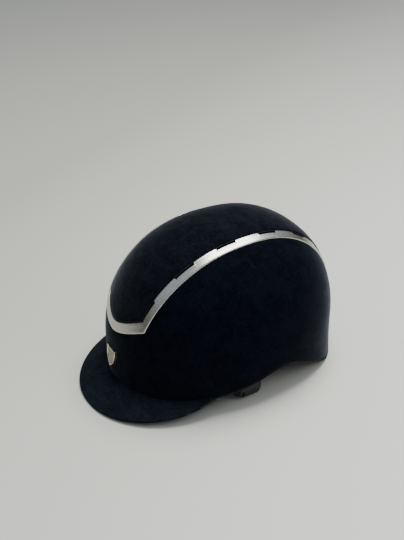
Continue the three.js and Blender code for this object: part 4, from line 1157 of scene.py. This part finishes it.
def crown_pad():
    """The oval pad under the crown, sewn through along an oval line."""
    turn = once_round(72)
    shares = np.linspace(1, 0.06, 14)
    seam = 0.55

    def loop(share, depth):
        return pitch_point(90 + 34 * share * np.cos(turn), 40 * share * np.sin(turn), PADS[0] + depth)

    def depth(share):
        channel = 1 - 0.5 * math.exp(-(((share - seam) / 0.03) ** 2))
        return PAD_SEWN + 4.0 * math.sqrt(max(0, 1 - share**6)) * channel

    path = [loop(share, PAD_BACK) for share in shares[::-1]]
    path += [loop(share, depth(share)) for share in shares]
    obj = loft_object("crown_pad_cloth", np.stack(path))
    index = np.arange(len(path) * len(turn)).reshape(len(path), -1)
    sewn = len(shares) + np.argmin(np.abs(shares - seam))
    pinned = np.concatenate([index[: len(shares) + 1].ravel(), index[sewn]])
    finish_pad(obj, PAD_CLOTH, "crown_pad", pinned, SWELL_CAP)


def nape_pad():
    """The pad on the dial's housing, hollowed to the back of a head."""

    def point(u, v, depth):
        across, up = 2 * u - 1, 2 * v - 1
        swell = (1 - 0.35 * across**4) * (1 - 0.25 * up**4) * depth * 6.5 / 6
        y = DIAL_Y - 3.7 - 3 * across**2 - swell
        return np.stack([26 * across, y, DIAL_HEIGHT + 15 * up * (1 - 0.15 * across**4)], -1)

    patch_pad("nape_pad", point, 26, 14, (0.5,))


def pads():
    wall_pad("brow_pad", -BROW_HALF, BROW_HALF, 5, 34, (1 / 6, 1 / 3, 0.5, 2 / 3, 5 / 6), 60)
    for label, side in SIDES:
        wall_pad(f"side_pad_{label}", *(side * angle for angle in EAR_ARC), 6, 36, (0.5,), 26)
    crown_pad()
    nape_pad()


# ---- webbing
def catmull(points, shares):
    """Points along a centripetal Catmull-Rom curve through the given ones."""
    points = np.asarray(points, float)
    padded = np.concatenate([[2 * points[0] - points[1]], points, [2 * points[-1] - points[-2]]])
    found = []
    for share in shares:
        place = share * (len(points) - 1)
        i = min(int(place), len(points) - 2)
        t = place - i
        a, b, c, d = padded[i : i + 4]
        before, here, after = (math.sqrt(np.linalg.norm(q - p)) for p, q in ((a, b), (b, c), (c, d)))
        leave = ((b - a) / before - (c - a) / (before + here) + (c - b) / here) * here
        reach = ((c - b) / here - (d - b) / (here + after) + (d - c) / after) * here
        bend = 3 * (c - b) - 2 * leave - reach
        twist = 2 * (b - c) + leave + reach
        found.append(b + leave * t + bend * t**2 + twist * t**3)
    return np.array(found)


def web_section():
    """Across a strap: rounded selvedges and a slightly raised middle, as (across, through)."""
    half, thick = WEB_WIDTH / 2, WEB_THICK / 2
    upper = [(-half, 0.0), (-half + 0.08, 0.34), (-half + 0.35, 0.58), (-half + 0.8, 0.66)]
    upper += [(a * half, thick) for a in (-0.8, -0.6, -0.3, 0, 0.3, 0.6, 0.8)]
    upper += [(-a, t) for a, t in upper[3::-1]]
    return np.array(upper + [(a, -t) for a, t in upper[-2:0:-1]])


def webbing(node, middles, across, through, taper=0.0, body="helmet"):
    """Webbing along a line; taper moves in the lower edge, by a share of the width at each point."""
    section = web_section()
    narrowing = np.broadcast_to(taper, len(middles))[:, None, None]
    widths = section[:, :1] + (WEB_WIDTH / 2 - section[:, :1]) * narrowing
    sections = middles[:, None] + widths * across[:, None] + section[None, :, 1:] * through[:, None]
    along, cross = np.meshgrid(run_along(middles), section[:, 0], indexing="ij")
    made = loft_object(f"{node}_webbing", sections, np.stack([along, cross], -1))
    dress(made, WEBBING, node, body=body)


def side_strap(label, side, angle, divider_y, which):
    """Webbing that stands on edge and bows into the cavity between an anchor and the divider."""
    start = anchor_place(side * angle) - (0, 0, 2.6 + WEB_WIDTH / 2)
    away = np.sign(start[1] - divider_y)
    knots = [
        start,
        start + (-side * 9, -away * 7, -1),
        (side * 60, start[1] * 0.45 + divider_y * 0.55, TAB_MIDDLE + 1),
        (side * (POCKET_X - 6), divider_y + away * 9, TAB_MIDDLE + 1.5),
        (side * (POCKET_X - 0.2), divider_y + away * 3.2, TAB_MIDDLE),
        (side * POCKET_X, divider_y, TAB_MIDDLE),
    ]
    shares = np.linspace(0, 1, 61)
    line = catmull(knots, shares)
    along = unit(np.gradient(line, axis=0))
    through = unit(np.stack([along[:, 1], -along[:, 0], 0 * along[:, 0]], -1))
    across = unit(np.cross(through, along))
    across *= np.sign(across[:, 2:])
    taper = 0.5 * (1 - np.clip(shares / 0.2, 0, 1)) ** 1.5
    webbing(f"{which}_strap_{label}", line, across, through, taper)


def on_chin(side, point):
    """Places points, drawn along +X from the bar, on one side's chin strap."""
    skew = math.radians(180 - CHIN_SKEW if side > 0 else -CHIN_SKEW)
    cos, sin = math.cos(skew), math.sin(skew)
    x, y, z = np.moveaxis(np.asarray(point, float), -1, 0)
    return np.stack([side * BAR_X + x * cos - y * sin, BAR_Y + x * sin + y * cos, z], -1)


def chin_strap(label, side):
    """Chin webbing whose end is sewn in a loop round the divider's bar."""
    radius = LOOP_BORE + WEB_THICK / 2
    straight = on_chin(side, (0, 1, 0)) - on_chin(side, (0, 0, 0))
    square = np.array([0.0, -side, 0])
    upward = np.array(UPWARD, float)
    bar = np.array([side * BAR_X, BAR_Y, BAR_Z])
    steps = [(on_chin(side, (x, 0, CHIN_Z)), straight, upward) for x in np.linspace(CHIN_LENGTH, 6, 28)]
    steps.append((np.array([side * (BAR_X - 2.4), BAR_Y, CHIN_Z]), square, upward))
    for a in np.radians(np.linspace(0, 335, 36)):
        out = np.array([side * math.sin(a), 0, -math.cos(a)])
        steps.append((bar + radius * out, square, -out))
    middles, across, through = (np.array(column) for column in zip(*steps))
    webbing(f"chin_strap_{label}", middles, across, through, body=f"chin_{label}")


def straps():
    for label, side in SIDES:
        side_strap(label, side, FRONT_ANCHOR, TAB_FRONT + 3, "front")
        side_strap(label, side, REAR_ANCHOR, TAB_BACK - 3, "rear")
        chin_strap(label, side)


# ---- dividers and anchors
EAR_HALF = 1.7
BAR_OUTLINE = ((0, -8.5), (1.5, -8.5), (1.5, 8.5), (0, 8.5))
STUD_OUTLINE = (
    (0, -2.2), (2.2, -2.2), (2.5, -1.95), (2.8, -2.2), (5.5, -2.2), (5.9, -1.95), (6, -1.5),
    (6, -0.9), (5.85, -0.45), (5.4, -0.3), (3.6, -0.3), (3.6, 11), (3.2, 11.6), (0, 13),
)


def rounded_outline(corners, radii):
    """A polygon with its corners rounded by the given radii."""
    corners = np.array(corners, float)
    points = []
    for i, (corner, radius) in enumerate(zip(corners, radii)):
        before = unit(corners[i - 1] - corner)
        after = unit(corners[(i + 1) % len(corners)] - corner)
        half = math.acos(np.clip(before @ after, -1, 1)) / 2
        middle = corner + unit(before + after) * radius / math.sin(half)
        first, last = (corner + arm * radius / math.tan(half) - middle for arm in (before, after))
        points += [middle + unit(first * (1 - t) + last * t) * radius for t in np.linspace(0, 1, 7)]
    return np.array(points)


def inward(outline, distance):
    """The outline moved inwards, for outlines drawn anticlockwise."""
    ahead = np.roll(outline, -1, 0) - np.roll(outline, 1, 0)
    return outline + unit(np.stack([-ahead[:, 1], ahead[:, 0]], -1)) * distance


def slab(name, outline, low, high, place, soft):
    """A plate from an outline, its edges rounded; place(across, up, depth) gives its points."""
    turn = np.radians(np.linspace(0, 90, 5))
    layers = [(soft * (1 - math.sin(t)), low + soft * (1 - math.cos(t))) for t in turn]
    layers += [(shrink, low + high - depth) for shrink, depth in layers[::-1]]
    loops = [place(*inward(outline, shrink).T, depth) for shrink, depth in layers]
    return loft_object(name, np.stack(loops))


def divider_plate(label, side):
    """A plate with a pocket for each side strap and a recess in its face."""
    foot, head = TAB_MIDDLE - TAB_HEIGHT / 2, TAB_MIDDLE + TAB_HEIGHT / 2
    corners = [(TAB_FRONT, foot), (TAB_BACK, foot), (TAB_BACK, head), (TAB_FRONT, head)]

    def place(y, z, x):
        return np.stack([np.full(y.shape, side * x), y, z], -1)

    def pocket(near, far, low, high):
        xs = sorted((side * (POCKET_X + near), side * (POCKET_X + far)))
        return block((xs[0], *low), (xs[1], *high))

    outline = rounded_outline(corners, (2.4, 3.4, 3, 3))
    name = f"strap_divider_{label}_plate"
    plate = slab(name, outline, POCKET_X - 1.9, POCKET_X + 1.9, place, 0.9)
    reach = WEB_WIDTH / 2 + 0.4
    cutters = [
        pocket(-1, 1, (low, TAB_MIDDLE - reach), (high, TAB_MIDDLE + reach))
        for low, high in ((TAB_FRONT - 1, TAB_FRONT + 4), (TAB_BACK - 4, TAB_BACK + 1))
    ]
    cutters.append(pocket(0, 3, (TAB_FRONT + 1.6, foot + 2.4), (TAB_FRONT + 4.4, foot + 7)))
    carve(plate, cutters)
    round_edges(plate, 0.25, 2, 35)
    dress(plate, HARNESS_PLASTIC, f"strap_divider_{label}")


def divider_bar(label, side):
    """The bar that the chin webbing turns on, held by an ear at each end."""
    near, far = BAR_X - EAR_HALF, POCKET_X - 1.5
    foot, head = BAR_Z - EAR_HALF, BAR_Z + EAR_HALF
    outline = rounded_outline([(near, foot), (far, foot), (far, head), (near, head)], (1.5, 0.4, 0.4, 1.5))

    def place(x, z, y):
        return np.stack([side * x, np.full(x.shape, y), z], -1)

    for part, y in (("front", BAR_Y - 9), ("rear", BAR_Y + 7.6)):
        ear = slab(f"strap_divider_{label}_{part}_ear", outline, y, y + 1.4, place, 0.3)
        dress(ear, HARNESS_PLASTIC)
    middle = (side * BAR_X, BAR_Y, BAR_Z)
    bar = lathe_object(f"strap_divider_{label}_bar", BAR_OUTLINE, (0, 1, 0), middle, 32)
    dress(bar, HARNESS_PLASTIC)


def anchor(label, side, which, angle):
    """A moulded stud in the liner's underside, with a flange that the webbing hangs from."""
    node = f"{which}_anchor_{label}"
    made = lathe_object(f"{node}_stud", STUD_OUTLINE, UPWARD, anchor_place(side * angle), 48)
    dress(made, BLACK_PLASTIC, node)


def harness():
    for label, side in SIDES:
        divider_plate(label, side)
        divider_bar(label, side)
        anchor(label, side, "front", FRONT_ANCHOR)
        anchor(label, side, "rear", REAR_ANCHOR)


# ---- chin pad
CHIN_PAD = (15.0, 53.0)
CHIN_STEPS = 30
BORE = (6.95, 1.05, 0.18)


def chin_pad():
    """A sewn leather sleeve round the chin webbing, open at both ends."""
    low, high = CHIN_PAD
    turn = once_round(56)
    cos, sin = np.cos(turn), np.sin(turn)

    def loop(x, half_width, half_height, power):
        across = np.sign(cos) * np.abs(cos) ** power * half_width
        up = np.sign(sin) * np.abs(sin) ** power * half_height
        return on_chin(-1, np.stack([np.full(turn.shape, x), across, CHIN_Z + up], -1))

    loops = []
    for x in np.linspace(low, high, CHIN_STEPS):
        end = min(x - low, high - x)
        full = math.sqrt(max(0, 1 - max(0, 1 - end / 3.5) ** 2))
        loops.append(loop(x, 9.9 + 0.9 * full, 1.9 + 1.5 * full, 0.5))
    loops += [loop(x, *BORE) for x in np.linspace(high, low, 12)]
    sections = np.stack(loops, 1)
    index = np.arange(sections[..., 0].size).reshape(sections.shape[:2])
    ends = index[:, [0, 1, CHIN_STEPS - 2, CHIN_STEPS - 1]]
    sewn = index[np.abs(cos) > 0.985]
    pinned = np.unique(np.concatenate([index[:, CHIN_STEPS:].ravel(), ends.ravel(), sewn.ravel()]))
    obj = ring_object("chin_pad_leather", sections)
    finish_pad(obj, CHIN_LEATHER, "chin_pad", pinned, 1.0, "chin_right")


# ---- dial knob
# Round the knob's profile: radius, depth of the scallops, distance behind DIAL_Y.
KNOB_OUTLINE = (
    (3.7, 0, 5.7), (3.7, 0, 4.2), (13.4, 0.4, 4.2), (14.6, 0.6, 4.5), (15.15, 0.7, 5.2),
    (15.3, 0.7, 6.2), (15.3, 0.7, 11.0), (15.1, 0.7, 12.2), (14.5, 0.6, 12.9), (13.4, 0.3, 13.2),
    (12.4, 0, 13.15), (11.8, 0, 12.6), (11.0, 0, 12.35), (6.8, 0, 12.3), (6.4, 0, 12.7),
    (5.6, 0, 12.75), (5.2, 0, 12.3), (1, 0, 12.2),
)


def dial_knob():
    """The knob: a scalloped grip with softened edges and a dished, ringed face."""
    turn = once_round(144)

    def loop(radius, scallop, y):
        reach = radius + scallop * np.cos(12 * turn)
        x, z = reach * np.sin(turn), DIAL_HEIGHT + reach * np.cos(turn)
        return np.stack([x, np.full(turn.shape, DIAL_Y + y), z], -1)

    made = loft_object("dial_knob_rubber", np.stack([loop(*p) for p in KNOB_OUTLINE]))
    dress(made, RUBBER, "dial_knob", body="dial")


foam_liner()
pads()
straps()
harness()
chin_pad()
dial_knob()
